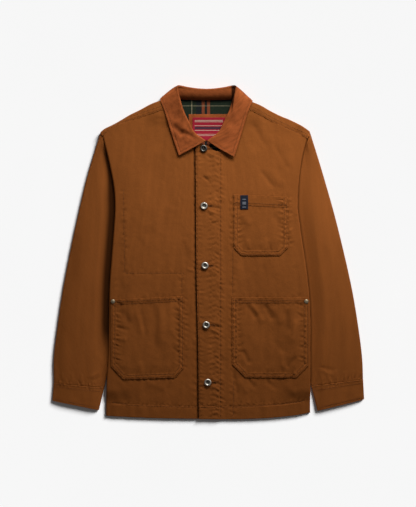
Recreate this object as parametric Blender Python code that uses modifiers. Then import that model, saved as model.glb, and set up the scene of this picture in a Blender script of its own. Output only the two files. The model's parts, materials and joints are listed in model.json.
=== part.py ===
"""A canvas chore jacket, buttoned and laid flat on its back with the sleeves tucked along its sides.

+X is towards the wearer's left, +Y towards the collar and +Z up from the surface that it lies on.
Every table and size here is in millimetres, and new_mesh() turns them into metres.
Each cloth piece is one wall: a grid of points on its outer face, given its thickness by Solidify.
"""

import math

import bmesh
import bpy
import numpy as np

MM = 0.001

# Cloth
WALL = 1.6  # body canvas with its seam allowances
COLLAR_WALL = 1.8
LINING_WALL = 1.0
SEAM_GAP = 0.4  # between two pieces that are sewn edge to edge
LAYER_GAP = 0.5  # between a piece and what it is sewn on

# Heights
BODY_DEPTH = 7.0  # underside of the back to the outer face of the fronts
OVER_SLEEVE = 5.7  # the body passes this high over the part of a sleeve that is tucked under it
UNDER_BODY = 5.0  # height of that tucked part
OVER_COLLAR = 3.0  # the yoke passes this high over the collar's fall
PLACKET_RISE = 2.2  # the left front over the right front's button stand
SLEEVE_EDGE = 7.0  # height of a sleeve's outer fold
CUFF_CROWN = 10.5

# Lengths across the surface
LIFT_MARGIN = 5.0
LIFT_RAMP = 24.0
LOWEST_SLEEVE = -350.0  # y where the sleeves no longer carry the body's sides
LOWEST_RAMP = 34.0
COLLAR_LIFT_Y = (290.0, 322.0)
COLLAR_LIFT_X = (118.0, 150.0)
SIDE_WRAP = 40.0  # how far a front turns round under the body to its side seam
ARMHOLE_WRAP = 2.0
WRAP_CHANGE_Y = (95.0, 140.0)
YOKE_SEAM_Y = 235.0
SIDE_SEAM_Y = np.linspace(-345.0, YOKE_SEAM_Y, 18)  # rows that the fronts and the back share
SHOULDER_CELLS = 6  # columns that a front and the yoke share along the shoulder seam
BUTTON_STAND_X = 18.6
STAND_RAMP = 22.0
VALLEY = 34.0  # a sleeve sinks beside the body over this width
COLLAR_CENTRE_X = -3.7

# The body's sides, by height on the jacket: half widths of the fold that shows and of the
# sleeve's hidden inner fold, on the wearer's right (r) and left (l).
SIDES = np.array(
    [
        # y,   edge_r, sleeve_r, edge_l, sleeve_l
        (-388, 237.5, 252.0, 237.5, 252.0),
        (-340, 237.0, 243.0, 237.7, 243.0),
        (-297, 235.5, 234.5, 238.0, 234.0),
        (-232, 231.5, 221.0, 238.0, 219.5),
        (-153, 230.0, 205.0, 238.0, 202.0),
        (-76, 228.5, 191.0, 233.0, 185.0),
        (-6, 223.5, 179.5, 224.0, 170.0),
        (57, 218.5, 169.0, 214.5, 157.0),
        (108, 216.0, 170.0, 208.5, 157.0),
        (146, 218.0, 184.0, 210.0, 171.0),
        (192, 226.0, 205.0, 214.5, 192.0),
        (239, 236.5, 226.0, 223.0, 213.0),
        (278, 247.0, 243.0, 234.4, 231.0),
    ],
    float,
)

# Outlines of the two fronts, from the centre edge out to the side.
HEM = {
    -1: [(BUTTON_STAND_X, -387), (-60, -386.5), (-181, -383), (-234, -380)],
    1: [(-21.4, -387), (75, -387), (168, -381), (214, -374.5), (234, -368)],
}
NECKLINE = {
    -1: [(BUTTON_STAND_X, 220), (4, 225), (-12, 236), (-30, 256), (-49, 281), (-65, 308), (-77, 331), (-83, 340)],
    1: [(-29, 249), (-12, 253), (7, 247), (17, 244.5), (26, 250), (44, 282), (58, 308), (70, 331), (75.5, 340)],
}
SHOULDER_SEAM = {
    -1: [(-83, 340), (-112, 330.5), (-149, 318), (-186, 305.5), (-226, 289), (-242.5, 272)],
    1: [(75.5, 340), (101, 330.5), (146, 307), (179, 290), (215, 274), (229.5, 266)],
}
CENTRE_EDGE = {
    -1: [(BUTTON_STAND_X, -387), (BUTTON_STAND_X, 220)],
    1: [(-21.4, -387), (-23, -215), (-26, -87), (-28, 122), (-29, 249)],
}
# The fold over each shoulder, from its tip to the neck.
SHOULDER_FOLD = {
    -1: [(-247, 281.5), (-240, 289), (-228, 297), (-205, 308.5), (-182, 319), (-158, 332), (-135, 346),
         (-116, 352.6), (-100, 355), (-83, 357.2)],
    1: [(234.4, 282.5), (221, 292.5), (191, 308.5), (168, 318), (145, 329.5), (121, 342.8), (102.5, 350.2),
        (88.5, 354.5), (75.5, 357.2)],
}
BACK_NECKLINE = [(-83, 357), (-60, 355.5), (-4, 354.8), (52, 355.5), (75.5, 357)]

# Sleeves, from the armhole to the cuff seam: the outer fold, the inner fold and the crown's height.
SLEEVES = {
    -1: np.array(
        [
            # out, out_y, in, in_y, crown
            (249.0, 280.0, 168.5, 116.0, 5.0),
            (266.8, 224.8, 167.8, 71.0, 9.0),
            (282.4, 171.3, 171.3, 38.4, 12.0),
            (300.6, 94.4, 179.4, -8.2, 13.5),
            (319.7, 5.8, 188.7, -64.0, 14.0),
            (337.9, -89.7, 201.6, -131.6, 14.0),
            (351.1, -178.2, 216.7, -203.9, 13.5),
            (358.8, -245.0, 231.8, -269.1, 12.5),
            (358.8, -303.0, 241.0, -313.5, 11.0),
        ]
    ),
    1: np.array(
        [
            (235.8, 280.6, 155.5, 116.0, 5.0),
            (253.5, 222.5, 154.0, 71.0, 9.0),
            (269.8, 168.9, 158.0, 38.4, 12.0),
            (291.7, 94.4, 169.0, -8.2, 13.5),
            (313.4, 5.8, 181.5, -64.0, 14.0),
            (334.4, -89.7, 198.5, -131.6, 14.0),
            (349.0, -178.2, 216.0, -203.9, 13.5),
            (357.2, -245.0, 232.0, -265.0, 12.5),
            (359.3, -293.5, 239.5, -309.5, 11.0),
        ]
    ),
}
CUFFS = {
    -1: np.array([(359.0, -303.5, 241.5, -314.2, 11.0), (362.6, -341.0, 253.3, -364.6, CUFF_CROWN)]),
    1: np.array([(359.5, -294.0, 240.0, -310.2, 11.0), (362.9, -341.6, 254.4, -368.4, CUFF_CROWN)]),
}

# The collar from the front tip (first row) round to the centre back (last row), as half of it:
# n is the neck seam, c the centre of the roll, k pulls the fall outwards, f is its outer edge.
# drop is how early the fall comes down, heading turns from the leaf's own direction to straight
# back, and roll turns the fold on its side.
COLLAR_ROWS = np.array(
    [
        # n_x, n_y, n_z, c_x, c_y, c_z, k_x, k_y, drop, f_x, f_y, f_z, heading, roll
        (25.6, 259.3, 10.8, 5.3, 257.9, 12.4, 32.6, 241.2, 1.2, 64.1, 224.8, 11.2, -29, 0),
        (48.9, 283.1, 8.8, 30.3, 278.0, 12.4, 53.6, 270.3, 1.2, 77.2, 263.3, 11.4, -17, 5),
        (65.2, 309.9, 10.6, 43.6, 302.7, 14.4, 66.4, 300.6, 1.2, 88.4, 299.4, 12.0, -4, 12),
        (77.4, 332.0, 11.6, 55.2, 327.4, 16.8, 76.9, 330.9, 1.2, 98.4, 330.9, 12.8, 8, 25),
        (79.7, 344.8, 11.6, 62.2, 350.7, 19.4, 83.0, 353.5, 1.2, 105.6, 349.0, 11.9, 18, 45),
        (76.4, 353.5, 9.8, 66.4, 368.5, 21.0, 85.0, 372.0, 1.2, 107.0, 357.6, 6.8, 32, 68),
        (67.6, 355.2, 7.8, 65.2, 381.4, 21.6, 79.5, 380.0, 3.0, 99.0, 356.6, 1.6, 62, 92),
        (46.6, 355.2, 7.6, 42.0, 378.0, 21.6, 49.5, 379.0, 4.0, 74.6, 341.4, 1.1, 90, 110),
        (23.3, 354.6, 7.6, 20.0, 376.0, 21.2, 24.0, 375.5, 4.0, 35.0, 329.7, 1.1, 90, 112),
        (0.0, 354.2, 7.6, 0.0, 375.2, 21.0, 0.0, 374.5, 4.0, 0.0, 326.7, 1.1, 90, 112),
    ],
    float,
)
COLLAR_STEPS = (1, 2, 2, 3, 3, 3, 2, 2, 1)  # stations between one row and the next
LEFT_DROP = np.array([3.4, 1.5, 0, 0, 1.8, 3.6, 3.0, 0, 0, 0])  # k_y and f_y are this much less on the left
ROLL_RADIUS = 2.6

# Broad folds in the cloth: a soft ridge (or trough, where the height is negative) along a line.
FOLDS = np.array(
    [
        # x0,  y0,   x1,   y1,  width, height
        (105, 322, 150, 236, 16, 1.3),
        (152, 260, 187, 190, 16, 1.2),
        (118, 300, 160, 200, 15, -0.9),
        (-150, 300, -120, 190, 20, 0.9),
        (-190, 230, -150, 60, 22, -0.9),
        (-120, 120, -110, -60, 24, 0.8),
        (190, 110, 200, -80, 18, 0.9),
        (-150, -120, -140, -340, 24, 0.9),
        (130, -120, 140, -340, 24, 0.8),
        (-90, -60, -60, -330, 20, -0.8),
        (90, 60, 75, -330, 18, -0.7),
    ],
    float,
)
# Folds on the sleeves, and the gathers above each cuff, as (half width, y) on either side.
SLEEVE_FOLDS = np.array(
    [
        (285, 215, 262, 60, 16, -1.6),
        (296, 150, 300, -10, 15, 1.4),
        (262, 60, 300, -60, 15, 1.5),
        (330, -40, 275, -110, 16, -1.8),
        (318, -130, 262, -190, 15, 1.6),
        (345, -170, 300, -235, 14, -1.6),
        (282, -262, 285, -304, 8, -2.0),
        (305, -255, 305, -302, 8, -2.0),
        (328, -258, 324, -300, 8, -2.0),
    ],
    float,
)

# Patches on the fronts: corners in order round a convex outline.
POCKETS = {
    "chest_pocket": (1, [(59.4, 135), (185.2, 129), (185.2, 11.5), (166.6, -7), (78, -7), (59.4, 11.5)]),
    "lower_pocket_left": (
        1,
        [(55.9, -104.4), (233, -104.4), (233, -262), (204.5, -290.6), (87, -290.6), (56.5, -260.5)],
    ),
    "lower_pocket_right": (
        -1,
        [(-224.8, -109.5), (-57.1, -101.4), (-57.1, -268), (-75.3, -291), (-196.5, -295), (-224.8, -264)],
    ),
}
POCKET_WALL = 1.4
TAB_WALL = 1.0
TAB_OUTLINE = [(75.0, 128.5), (93.2, 128.5), (93.2, 100.5), (75.0, 100.5)]
LINING_X = (-88.0, 80.0)
LINING_Y = [222.0, 235.0, 253.0, 271.0, 283.0, 295.0, 307.0, 319.0, 331.0, 343.0, 355.6]
LABEL_PATCH = [(-45, 321.5), (48.7, 321.5), (48.7, 282), (24, 259), (-31, 259), (-45, 282)]
NECK_LABEL = [(-36, 313.8), (39.6, 313.8), (39.6, 288), (18, 266), (-25, 266), (-36, 284)]

# Metal
BUTTONS = [(-10, 241.5), (-9.1, 108.4), (-7, -30.3), (-4.2, -168.2), (-0.5, -301.7)]
BUTTON_PROFILE = [(0, 1.7), (2.4, 1.8), (3.8, 3.1), (5.8, 3.8), (7.6, 3.2), (8.5, 1.9), (7.9, 0.8), (5, 0), (0, 0)]
RIVETS = {"rivet_right": (-1, -220.5, -113.5), "rivet_left": (1, 228.0, -113.5)}
RIVET_PROFILE = [(0, 1.7), (2.0, 1.6), (3.9, 1.1), (5.0, 0.5), (5.1, 0), (0, 0)]
TURNED_STEPS = 12


# Curves and heights


def smooth(share):
    """Ease from 0 to 1 as share goes from 0 to 1."""
    share = np.clip(share, 0.0, 1.0)
    return share * share * (3.0 - 2.0 * share)


def spline(at, knots, values):
    """A smooth curve through the rows of a table, held at its ends."""
    knots = np.asarray(knots, float)
    values = np.asarray(values, float)
    slopes = np.gradient(values, knots, axis=0)
    at = np.clip(np.asarray(at, float), knots[0], knots[-1])
    i = np.clip(np.searchsorted(knots, at, side="right") - 1, 0, len(knots) - 2)
    step = knots[i + 1] - knots[i]
    t = (at - knots[i]) / step
    if values.ndim > 1:
        t = t[..., None]
        step = step[..., None]
    return (
        (1 + 2 * t) * (1 - t) ** 2 * values[i]
        + t * (1 - t) ** 2 * step * slopes[i]
        + t * t * (3 - 2 * t) * values[i + 1]
        + t * t * (t - 1) * step * slopes[i + 1]
    )


def along(points, count):
    """count + 1 points at even steps along a smooth line through the given points."""
    points = np.asarray(points, float)
    lengths = np.concatenate([[0], np.cumsum(np.linalg.norm(np.diff(points, axis=0), axis=1))])
    return spline(np.linspace(0, lengths[-1], count + 1), lengths, points)


def side_edge(side, y):
    """Half width of the body's visible fold at y."""
    return spline(y, SIDES[:, 0], SIDES[:, 1 if side < 0 else 3])


def lift(x, y):
    """Height of the underside of the lowest layer of the body."""
    sleeve = np.where(x < 0, spline(y, SIDES[:, 0], SIDES[:, 2]), spline(y, SIDES[:, 0], SIDES[:, 4]))
    over_sleeve = smooth((np.abs(x) - sleeve + LIFT_MARGIN + LIFT_RAMP) / LIFT_RAMP)
    over_sleeve = over_sleeve * smooth((y - LOWEST_SLEEVE) / LOWEST_RAMP)
    over_collar = smooth((y - COLLAR_LIFT_Y[0]) / (COLLAR_LIFT_Y[1] - COLLAR_LIFT_Y[0]))
    over_collar = over_collar * smooth((COLLAR_LIFT_X[1] - np.abs(x)) / (COLLAR_LIFT_X[1] - COLLAR_LIFT_X[0]))
    return OVER_SLEEVE * over_sleeve + OVER_COLLAR * over_collar


def creases(x, y, table):
    """Summed height of the soft ridges and troughs of a table of folds."""
    total = np.zeros(np.broadcast(x, y).shape)
    for x0, y0, x1, y1, width, height in table:
        run = np.array([x1 - x0, y1 - y0])
        length = np.linalg.norm(run)
        t = ((x - x0) * run[0] + (y - y0) * run[1]) / length**2
        off = ((x - x0) * run[1] - (y - y0) * run[0]) / length
        total = total + height * np.exp(-((off / width) ** 2)) * smooth(t * 4) * smooth((1 - t) * 4)
    return total


def body_top(x, y, side):
    """Outer face of the upper layer; the wearer's left front rises over the right's button stand."""
    top = lift(x, y) + BODY_DEPTH
    inside = smooth((np.where(x < 0, side_edge(-1, y), side_edge(1, y)) - np.abs(x) - 6) / 16)
    if side > 0:
        top = top + PLACKET_RISE * smooth((BUTTON_STAND_X + 4 + STAND_RAMP - x) / STAND_RAMP)
    return top + creases(x, y, FOLDS) * inside


def coons(bottom, top, left, right):
    """Points of a sheet between four edges: a blend of the two pairs less their shared corners."""
    u = np.linspace(0, 1, len(bottom))[None, :, None]
    v = np.linspace(0, 1, len(left))[:, None, None]
    corners = (
        (1 - u) * (1 - v) * bottom[0] + u * (1 - v) * bottom[-1] + (1 - u) * v * top[0] + u * v * top[-1]
    )
    return (1 - v) * bottom + v * top + (1 - u) * left[:, None] + u * right[:, None] - corners


# Meshes


def new_mesh(name, points, faces):
    mesh = bpy.data.meshes.new(name)
    mesh.from_pydata((np.asarray(points) * MM).tolist(), [], faces)
    mesh.update()
    return mesh


def material(name, color, roughness, metallic=0.0):
    made = bpy.data.materials.new(name)
    made.use_nodes = True
    shader = made.node_tree.nodes["Principled BSDF"]
    shader.inputs["Base Color"].default_value = (*color, 1)
    shader.inputs["Roughness"].default_value = roughness
    shader.inputs["Metallic"].default_value = metallic
    return made


def place(name, mesh, finish):
    """One named object with its own material, in the jacket's collection."""
    thing = bpy.data.objects.new(name, mesh)
    mesh.materials.append(finish)
    bpy.data.collections["chore_jacket"].objects.link(thing)
    return thing


def thicken(thing, wall):
    """A wall inwards from the face that was drawn."""
    shell = thing.modifiers.new("wall", "SOLIDIFY")
    shell.thickness = wall * MM
    shell.offset = -1.0
    shell.use_even_offset = True
    return thing


def grid_faces(rows, cols, closed=False, flip=False, keep=None):
    """Triangles over a grid of points, row by row; closed joins the last column to the first."""
    faces = []
    for r in range(rows - 1):
        for c in range(cols if closed else cols - 1):
            if keep is not None and not keep[r][c]:
                continue
            a, b = r * cols + c, r * cols + (c + 1) % cols
            d, e = a + cols, b + cols
            faces += [(a, e, b), (a, d, e)] if flip else [(a, b, e), (a, e, d)]
    return faces


def cloth(name, grid, wall, finish, closed=False, flip=False, keep=None):
    """A sheet through a grid of points on its outer face, made into a wall."""
    rows, cols = grid.shape[:2]
    mesh = new_mesh(name, grid.reshape(-1, 3), grid_faces(rows, cols, closed, flip, keep))
    trim = bmesh.new()
    trim.from_mesh(mesh)
    bmesh.ops.delete(trim, geom=[v for v in trim.verts if not v.link_faces], context="VERTS")
    trim.to_mesh(mesh)
    trim.free()
    return thicken(place(name, mesh, finish), wall)


def patch(name, panel, outline, wall, finish):
    """A piece sewn on a panel: the panel's own outer face, cut to a convex outline and moved out."""
    cut = bmesh.new()
    cut.from_mesh(panel.data)
    turned_under = [face for face in cut.faces if face.normal.z < 0.3]
    bmesh.ops.delete(cut, geom=turned_under, context="FACES")
    turn = sum(
        (q[0] - p[0]) * (q[1] + p[1]) for p, q in zip(outline, outline[1:] + outline[:1])
    )  # positive where the corners run clockwise
    for p, q in zip(outline, outline[1:] + outline[:1]):
        outward = np.array([q[1] - p[1], p[0] - q[0], 0]) * (-1 if turn > 0 else 1)
        bmesh.ops.bisect_plane(
            cut,
            geom=cut.verts[:] + cut.edges[:] + cut.faces[:],
            dist=1e-7,
            plane_co=(p[0] * MM, p[1] * MM, 0),
            plane_no=outward / np.linalg.norm(outward),
            clear_outer=True,
        )
    bmesh.ops.remove_doubles(cut, verts=cut.verts, dist=1e-5)
    bmesh.ops.dissolve_degenerate(cut, edges=cut.edges, dist=2e-4)
    bmesh.ops.triangulate(cut, faces=cut.faces)
    cut.normal_update()
    shifts = [v.normal * ((LAYER_GAP + wall) * MM) for v in cut.verts]
    for vertex, shift in zip(cut.verts, shifts):
        vertex.co += shift
    mesh = bpy.data.meshes.new(name)
    cut.to_mesh(mesh)
    cut.free()
    return thicken(place(name, mesh, finish), wall)


def turned(name, profile, spot, finish):
    """A small round piece: a profile (radius, height) turned about Z at a spot."""
    points = [(r, 0, z) for r, z in profile]
    mesh = new_mesh(name, points, [])
    mesh.edges.add(len(points) - 1)
    for i, edge in enumerate(mesh.edges):
        edge.vertices = (i, i + 1)
    thing = place(name, mesh, finish)
    thing.location = [value * MM for value in spot]
    screw = thing.modifiers.new("turn", "SCREW")
    screw.steps = screw.render_steps = TURNED_STEPS
    screw.use_merge_vertices = True
    screw.merge_threshold = 1e-5
    return thing


# The jacket


def front(name, side, finish):
    """A front panel: flat on the body, round its side fold and under the body to the side seam."""
    fold_steps, wrap_steps = 4, 2
    neck = along(NECKLINE[side], 7)
    seam = along(SHOULDER_SEAM[side], SHOULDER_CELLS)
    top = np.vstack([neck[:-1], seam])
    hem = along(HEM[side], len(top) - 1)
    near_shoulder = (YOKE_SEAM_Y + top[-1, 1]) / 2
    side_y = np.array([hem[-1, 1], *SIDE_SEAM_Y, near_shoulder, top[-1, 1]])
    radius = BODY_DEPTH / 2
    side_x = side * (side_edge(side, side_y) - radius)
    side_line = np.column_stack([side_x, side_y])
    side_line[0], side_line[-1] = hem[-1], top[-1]
    centre = along(CENTRE_EDGE[side], len(side_y) - 1)
    plan = coons(hem, top, centre, side_line)
    x, y = plan[..., 0], plan[..., 1]
    flat = np.dstack([x, y, body_top(x, y, side)])
    turn = np.linspace(0, math.pi, fold_steps + 1)[1:]
    edge_x, edge_y = x[:, -1:], y[:, -1:]
    low = lift(edge_x, edge_y)
    fold_x = edge_x + side * radius * np.sin(turn)
    fold_z = low + radius + radius * np.cos(turn)
    fold = np.dstack([fold_x, np.repeat(edge_y, fold_steps, 1), fold_z])
    change = smooth((edge_y - WRAP_CHANGE_Y[0]) / (WRAP_CHANGE_Y[1] - WRAP_CHANGE_Y[0]))
    width = SIDE_WRAP + (ARMHOLE_WRAP - SIDE_WRAP) * change
    step = np.linspace(0, 1, wrap_steps + 1)[1:]
    wrap_x = edge_x - side * width * step
    wrap_y = np.repeat(edge_y, wrap_steps, 1)
    wrap = np.dstack([wrap_x, wrap_y, lift(wrap_x, wrap_y)])
    return cloth(name, np.concatenate([flat, fold, wrap], 1), WALL, finish, flip=side < 0)


def back_side(side, y):
    """Half width of the back and yoke at y, just inside the fronts' turned sides."""
    change = smooth((y - WRAP_CHANGE_Y[0]) / (WRAP_CHANGE_Y[1] - WRAP_CHANGE_Y[0]))
    width = SIDE_WRAP + (ARMHOLE_WRAP - SIDE_WRAP) * change
    return side_edge(side, y) - BODY_DEPTH / 2 - width - SEAM_GAP


def back(finish):
    """The back panel, from the hem to the yoke seam, drawn on its underside."""
    share = np.linspace(0, 1, 7)[None, :]
    rows = SIDE_SEAM_Y[:, None]
    halves = {}
    for side in (-1, 1):
        edge = back_side(side, rows)
        sleeve = spline(rows, SIDES[:, 0], SIDES[:, 2 if side < 0 else 4])
        top_of_ramp = np.minimum(edge - 4, sleeve - LIFT_MARGIN)
        ramp = top_of_ramp - LIFT_RAMP * np.array([[1, 0.66, 0.33, 0]])
        halves[side] = np.hstack([ramp, edge])
    middle = -halves[-1][:, :1] + (halves[-1][:, :1] + halves[1][:, :1]) * share
    x = np.hstack([-halves[-1][:, :0:-1], middle, halves[1][:, 1:]])
    y = np.repeat(rows, x.shape[1], 1)
    y[-1] -= SEAM_GAP
    hem_y = np.interp(x[0], [-240, -150, 60, 240], [-377, -382, -383, -370])
    x, y = np.vstack([x[:1], x]), np.vstack([hem_y, y])
    return cloth("back", np.dstack([x, y, lift(x, y)]), WALL, finish, flip=True)


def shoulder_line(side, points, count):
    """Points from the shoulder's tip to the neck."""
    line = along(points, count)
    return line if abs(line[0, 0]) > abs(line[-1, 0]) else line[::-1]


def yoke(finish):
    """The yoke, from the back seam over each shoulder's fold to the seam on the front."""
    strap, neck, round_steps, over = SHOULDER_CELLS, 8, 5, 2
    radius = BODY_DEPTH / 2
    right, left = shoulder_line(-1, SHOULDER_FOLD[-1], strap), shoulder_line(1, SHOULDER_FOLD[1], strap)
    line = np.vstack([right[:-1], along(BACK_NECKLINE, neck), left[-2::-1]])
    right, left = shoulder_line(-1, SHOULDER_SEAM[-1], strap), shoulder_line(1, SHOULDER_SEAM[1], strap)
    seam = np.vstack([right[:-1], np.linspace(right[-1], left[-1], neck + 1), left[-2::-1]])
    in_neck = np.zeros(len(line), bool)
    in_neck[strap + 1 : strap + neck] = True
    start = line[:, 1] - np.where(in_neck, 0, radius)
    level = np.array([0, 0.3, 0.5, 0.7, 0.9, 1])[:, None]
    y = YOKE_SEAM_Y + (start - YOKE_SEAM_Y) * level
    reach = np.where(line[:, 0] < 0, back_side(-1, y) / -line[0, 0], back_side(1, y) / line[-1, 0])
    x = line[:, 0] * np.where(level < 1, reach, 1)
    rows = [np.dstack([x, y, lift(x, y)])]
    turn = np.linspace(0, math.pi, round_steps + 1)[1:, None]
    round_x = np.repeat(line[None, :, 0], round_steps, 0)
    round_z = lift(line[:, 0], start) + radius - radius * np.cos(turn)
    rows.append(np.dstack([round_x, start + radius * np.sin(turn), round_z]))
    level = np.linspace(0, 1, over + 1)[1:, None]
    x = line[:, 0] + (seam[:, 0] - line[:, 0]) * level
    y = start + (seam[:, 1] + SEAM_GAP - start) * level
    rows.append(np.dstack([x, y, body_top(x, y, -1)]))
    grid = np.concatenate(rows, 0)
    keep = np.ones((grid.shape[0] - 1, grid.shape[1] - 1), bool)
    keep[len(rows[0]) - 1 :, strap : strap + neck] = False
    return cloth("yoke", grid, WALL, finish, flip=True, keep=keep)


def sleeve_top(out, y, across, width, crown, side):
    """Height of a sleeve's upper layer: crowned where it shows, low where the body covers it."""
    beside = smooth((out - side_edge(side, y) - 2) / VALLEY)
    rounded = SLEEVE_EDGE + (crown - SLEEVE_EDGE) * smooth(across / (0.36 * width))
    return UNDER_BODY + (rounded - UNDER_BODY) * beside + creases(out, y, SLEEVE_FOLDS) * beside


def tube(name, side, table, stations, wall, finish):
    """A flattened tube lying on the surface, lofted through the rows of its table."""
    flat, bend, over = 5, 4, 13
    rows = spline(np.linspace(0, len(table) - 1, stations + 1), np.arange(len(table)), table)
    outer, inner, crown = rows[:, None, 0:2], rows[:, None, 2:4], rows[:, None, 4]
    width = np.linalg.norm(inner - outer, axis=2)

    def at(across):
        """Half width and y of points a distance in from the outer fold."""
        spot = outer + (inner - outer) * (across / width)[..., None]
        return spot[..., 0], spot[..., 1]

    def height(across):
        out, y = at(across)
        return sleeve_top(out, y, across, width, crown, side)

    def slant(fold):
        """How much longer a cut across a fold is than its width, where the station lies aslant."""
        run = np.gradient(fold[:, 0], axis=0)
        across = (inner - outer)[:, 0] / width
        turned = run[:, 0] * across[:, 1] - run[:, 1] * across[:, 0]
        return 1 / np.maximum(np.abs(turned) / np.linalg.norm(run, axis=1), 0.3)[:, None]

    radius = height(SLEEVE_EDGE / 2 * slant(outer)) / 2
    inner_radius = height(width - UNDER_BODY / 2 * slant(inner)) / 2
    begin, end = radius * slant(outer), width - inner_radius * slant(inner)
    lay = begin + (end - begin) * np.linspace(1, 0, flat + 1)[None, :]
    turn = np.linspace(0, math.pi, bend + 1)[None, 1:-1]
    rise = radius - radius * np.cos(turn)
    rolled = begin * (1 - np.sin(turn))
    top = begin + (end - begin) * np.linspace(0, 1, over + 1)[None, :]
    sink = inner_radius + inner_radius * np.cos(turn)
    tucked = end + (width - end) * np.sin(turn)
    across = np.concatenate([lay, rolled, top, tucked], 1)
    z = np.concatenate([np.zeros_like(lay), rise, height(top), sink], 1)
    out, y = at(across)
    grid = np.dstack([side * out, y, z])
    return cloth(name, grid, wall, finish, closed=True, flip=side < 0)


def collar_section(row, side):
    """Points across the collar at one station, from the neck seam over the roll to the fall's edge."""
    n, c, k, f = row[0:3], row[3:6], row[6:9], row[9:12]
    heading, roll = math.radians(row[12]), math.radians(row[13])
    outward = np.array([math.cos(heading), math.sin(heading), 0])
    above = outward * math.sin(roll) + np.array([0, 0, math.cos(roll)])
    nose = -outward * math.cos(roll) + np.array([0, 0, math.sin(roll)])
    low, high = c - ROLL_RADIUS * above, c + ROLL_RADIUS * above
    stand = [n + (low - n) * t for t in (0, 0.5, 1)]
    arc = [c + ROLL_RADIUS * (nose * math.sin(a) - above * math.cos(a)) for a in np.radians([50, 90, 130])]
    t = np.array([0, 0.2, 0.4, 0.6, 0.8, 1])[:, None]
    fall = high * (1 - t) ** 2 + 2 * k * t * (1 - t) + f * t * t
    fall[:, 2:] = f[2] + (high[2] - f[2]) * (1 - t) ** row[8]
    points = np.vstack([stand, arc, fall])
    return points * np.array([side, 1, 1]) + np.array([COLLAR_CENTRE_X, 0, 0])


def collar(finish):
    """Stand and fall in one wall, down the middle of the cloth, from one front tip to the other."""
    stops = [i + s / steps for i, steps in enumerate(COLLAR_STEPS) for s in range(steps)]
    stops.append(len(COLLAR_ROWS) - 1)
    knots = np.arange(len(COLLAR_ROWS))
    rows = spline(np.array(stops), knots, COLLAR_ROWS)
    right = [collar_section(row, -1) for row in rows]
    rows[:, [7, 10]] -= spline(np.array(stops), knots, LEFT_DROP)[:, None]
    left = [collar_section(row, 1) for row in rows[:-1]][::-1]
    piece = cloth("collar", np.array(right + left), COLLAR_WALL, finish, flip=True)
    piece.modifiers["wall"].offset = 0.0
    return piece


def lining(finish):
    """The back neck lining, on the yoke and the top of the back."""
    x, y = np.meshgrid(np.linspace(*LINING_X, 9), LINING_Y)
    narrow = 1 - 0.16 * smooth((y - 338) / 16)
    x = COLLAR_CENTRE_X + (x - COLLAR_CENTRE_X) * narrow
    top = lift(x, y) + WALL + LAYER_GAP + LINING_WALL
    return cloth("neck_lining", np.dstack([x, y, top]), LINING_WALL, finish)


def build():
    for thing in list(bpy.data.objects):
        bpy.data.objects.remove(thing, do_unlink=True)
    jacket = bpy.data.collections.new("chore_jacket")
    bpy.context.scene.collection.children.link(jacket)

    canvas = material("tobacco_canvas", (0.21, 0.075, 0.024), 0.85)
    rust = material("rust_collar_cloth", (0.27, 0.082, 0.034), 0.9)
    check = material("green_check_lining", (0.02, 0.03, 0.025), 0.8)
    red = material("red_label_cloth", (0.35, 0.01, 0.02), 0.7)
    navy = material("navy_tab_cloth", (0.01, 0.012, 0.02), 0.7)
    metal = material("nickel_button_metal", (0.35, 0.33, 0.29), 0.35, 1.0)

    panels = {side: front(name, side, canvas) for name, side in (("front_right", -1), ("front_left", 1))}
    back(canvas)
    yoke(canvas)
    for word, side in (("right", -1), ("left", 1)):
        tube(f"sleeve_{word}", side, SLEEVES[side], 14, WALL, canvas)
        tube(f"cuff_{word}", side, CUFFS[side], 2, WALL, canvas)
    collar(rust)
    neck = lining(check)
    backing = patch("label_patch", neck, LABEL_PATCH, LINING_WALL, rust)
    patch("neck_label", backing, NECK_LABEL, LINING_WALL, red)
    for name, (side, outline) in POCKETS.items():
        pocket = patch(name, panels[side], outline, POCKET_WALL, canvas)
        if name == "chest_pocket":
            patch("pocket_tab", pocket, TAB_OUTLINE, TAB_WALL, navy)
    for number, (x, y) in enumerate(BUTTONS, 1):
        height = float(body_top(np.array(x), np.array(y), 1)) + LAYER_GAP
        turned(f"button_{number}", BUTTON_PROFILE, (x, y, height), metal)
    for name, (side, x, y) in RIVETS.items():
        height = float(body_top(np.array(x), np.array(y), side)) + POCKET_WALL + 2 * LAYER_GAP
        turned(name, RIVET_PROFILE, (x, y, height), metal)


build()
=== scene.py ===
"""The looks of a canvas chore jacket, buttoned and laid flat on its back with its sleeves at its sides.

+X is towards the wearer's left, +Y towards the collar and +Z up from the surface that it lies on.
Tables and sizes are in millimetres, and new_mesh() turns them into metres. In names and tables,
side -1 is the wearer's right and side 1 the wearer's left.
Every cloth piece is a grid of points on its outer face, which shell() closes into a wall.
"""

import functools
import json
import math

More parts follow.
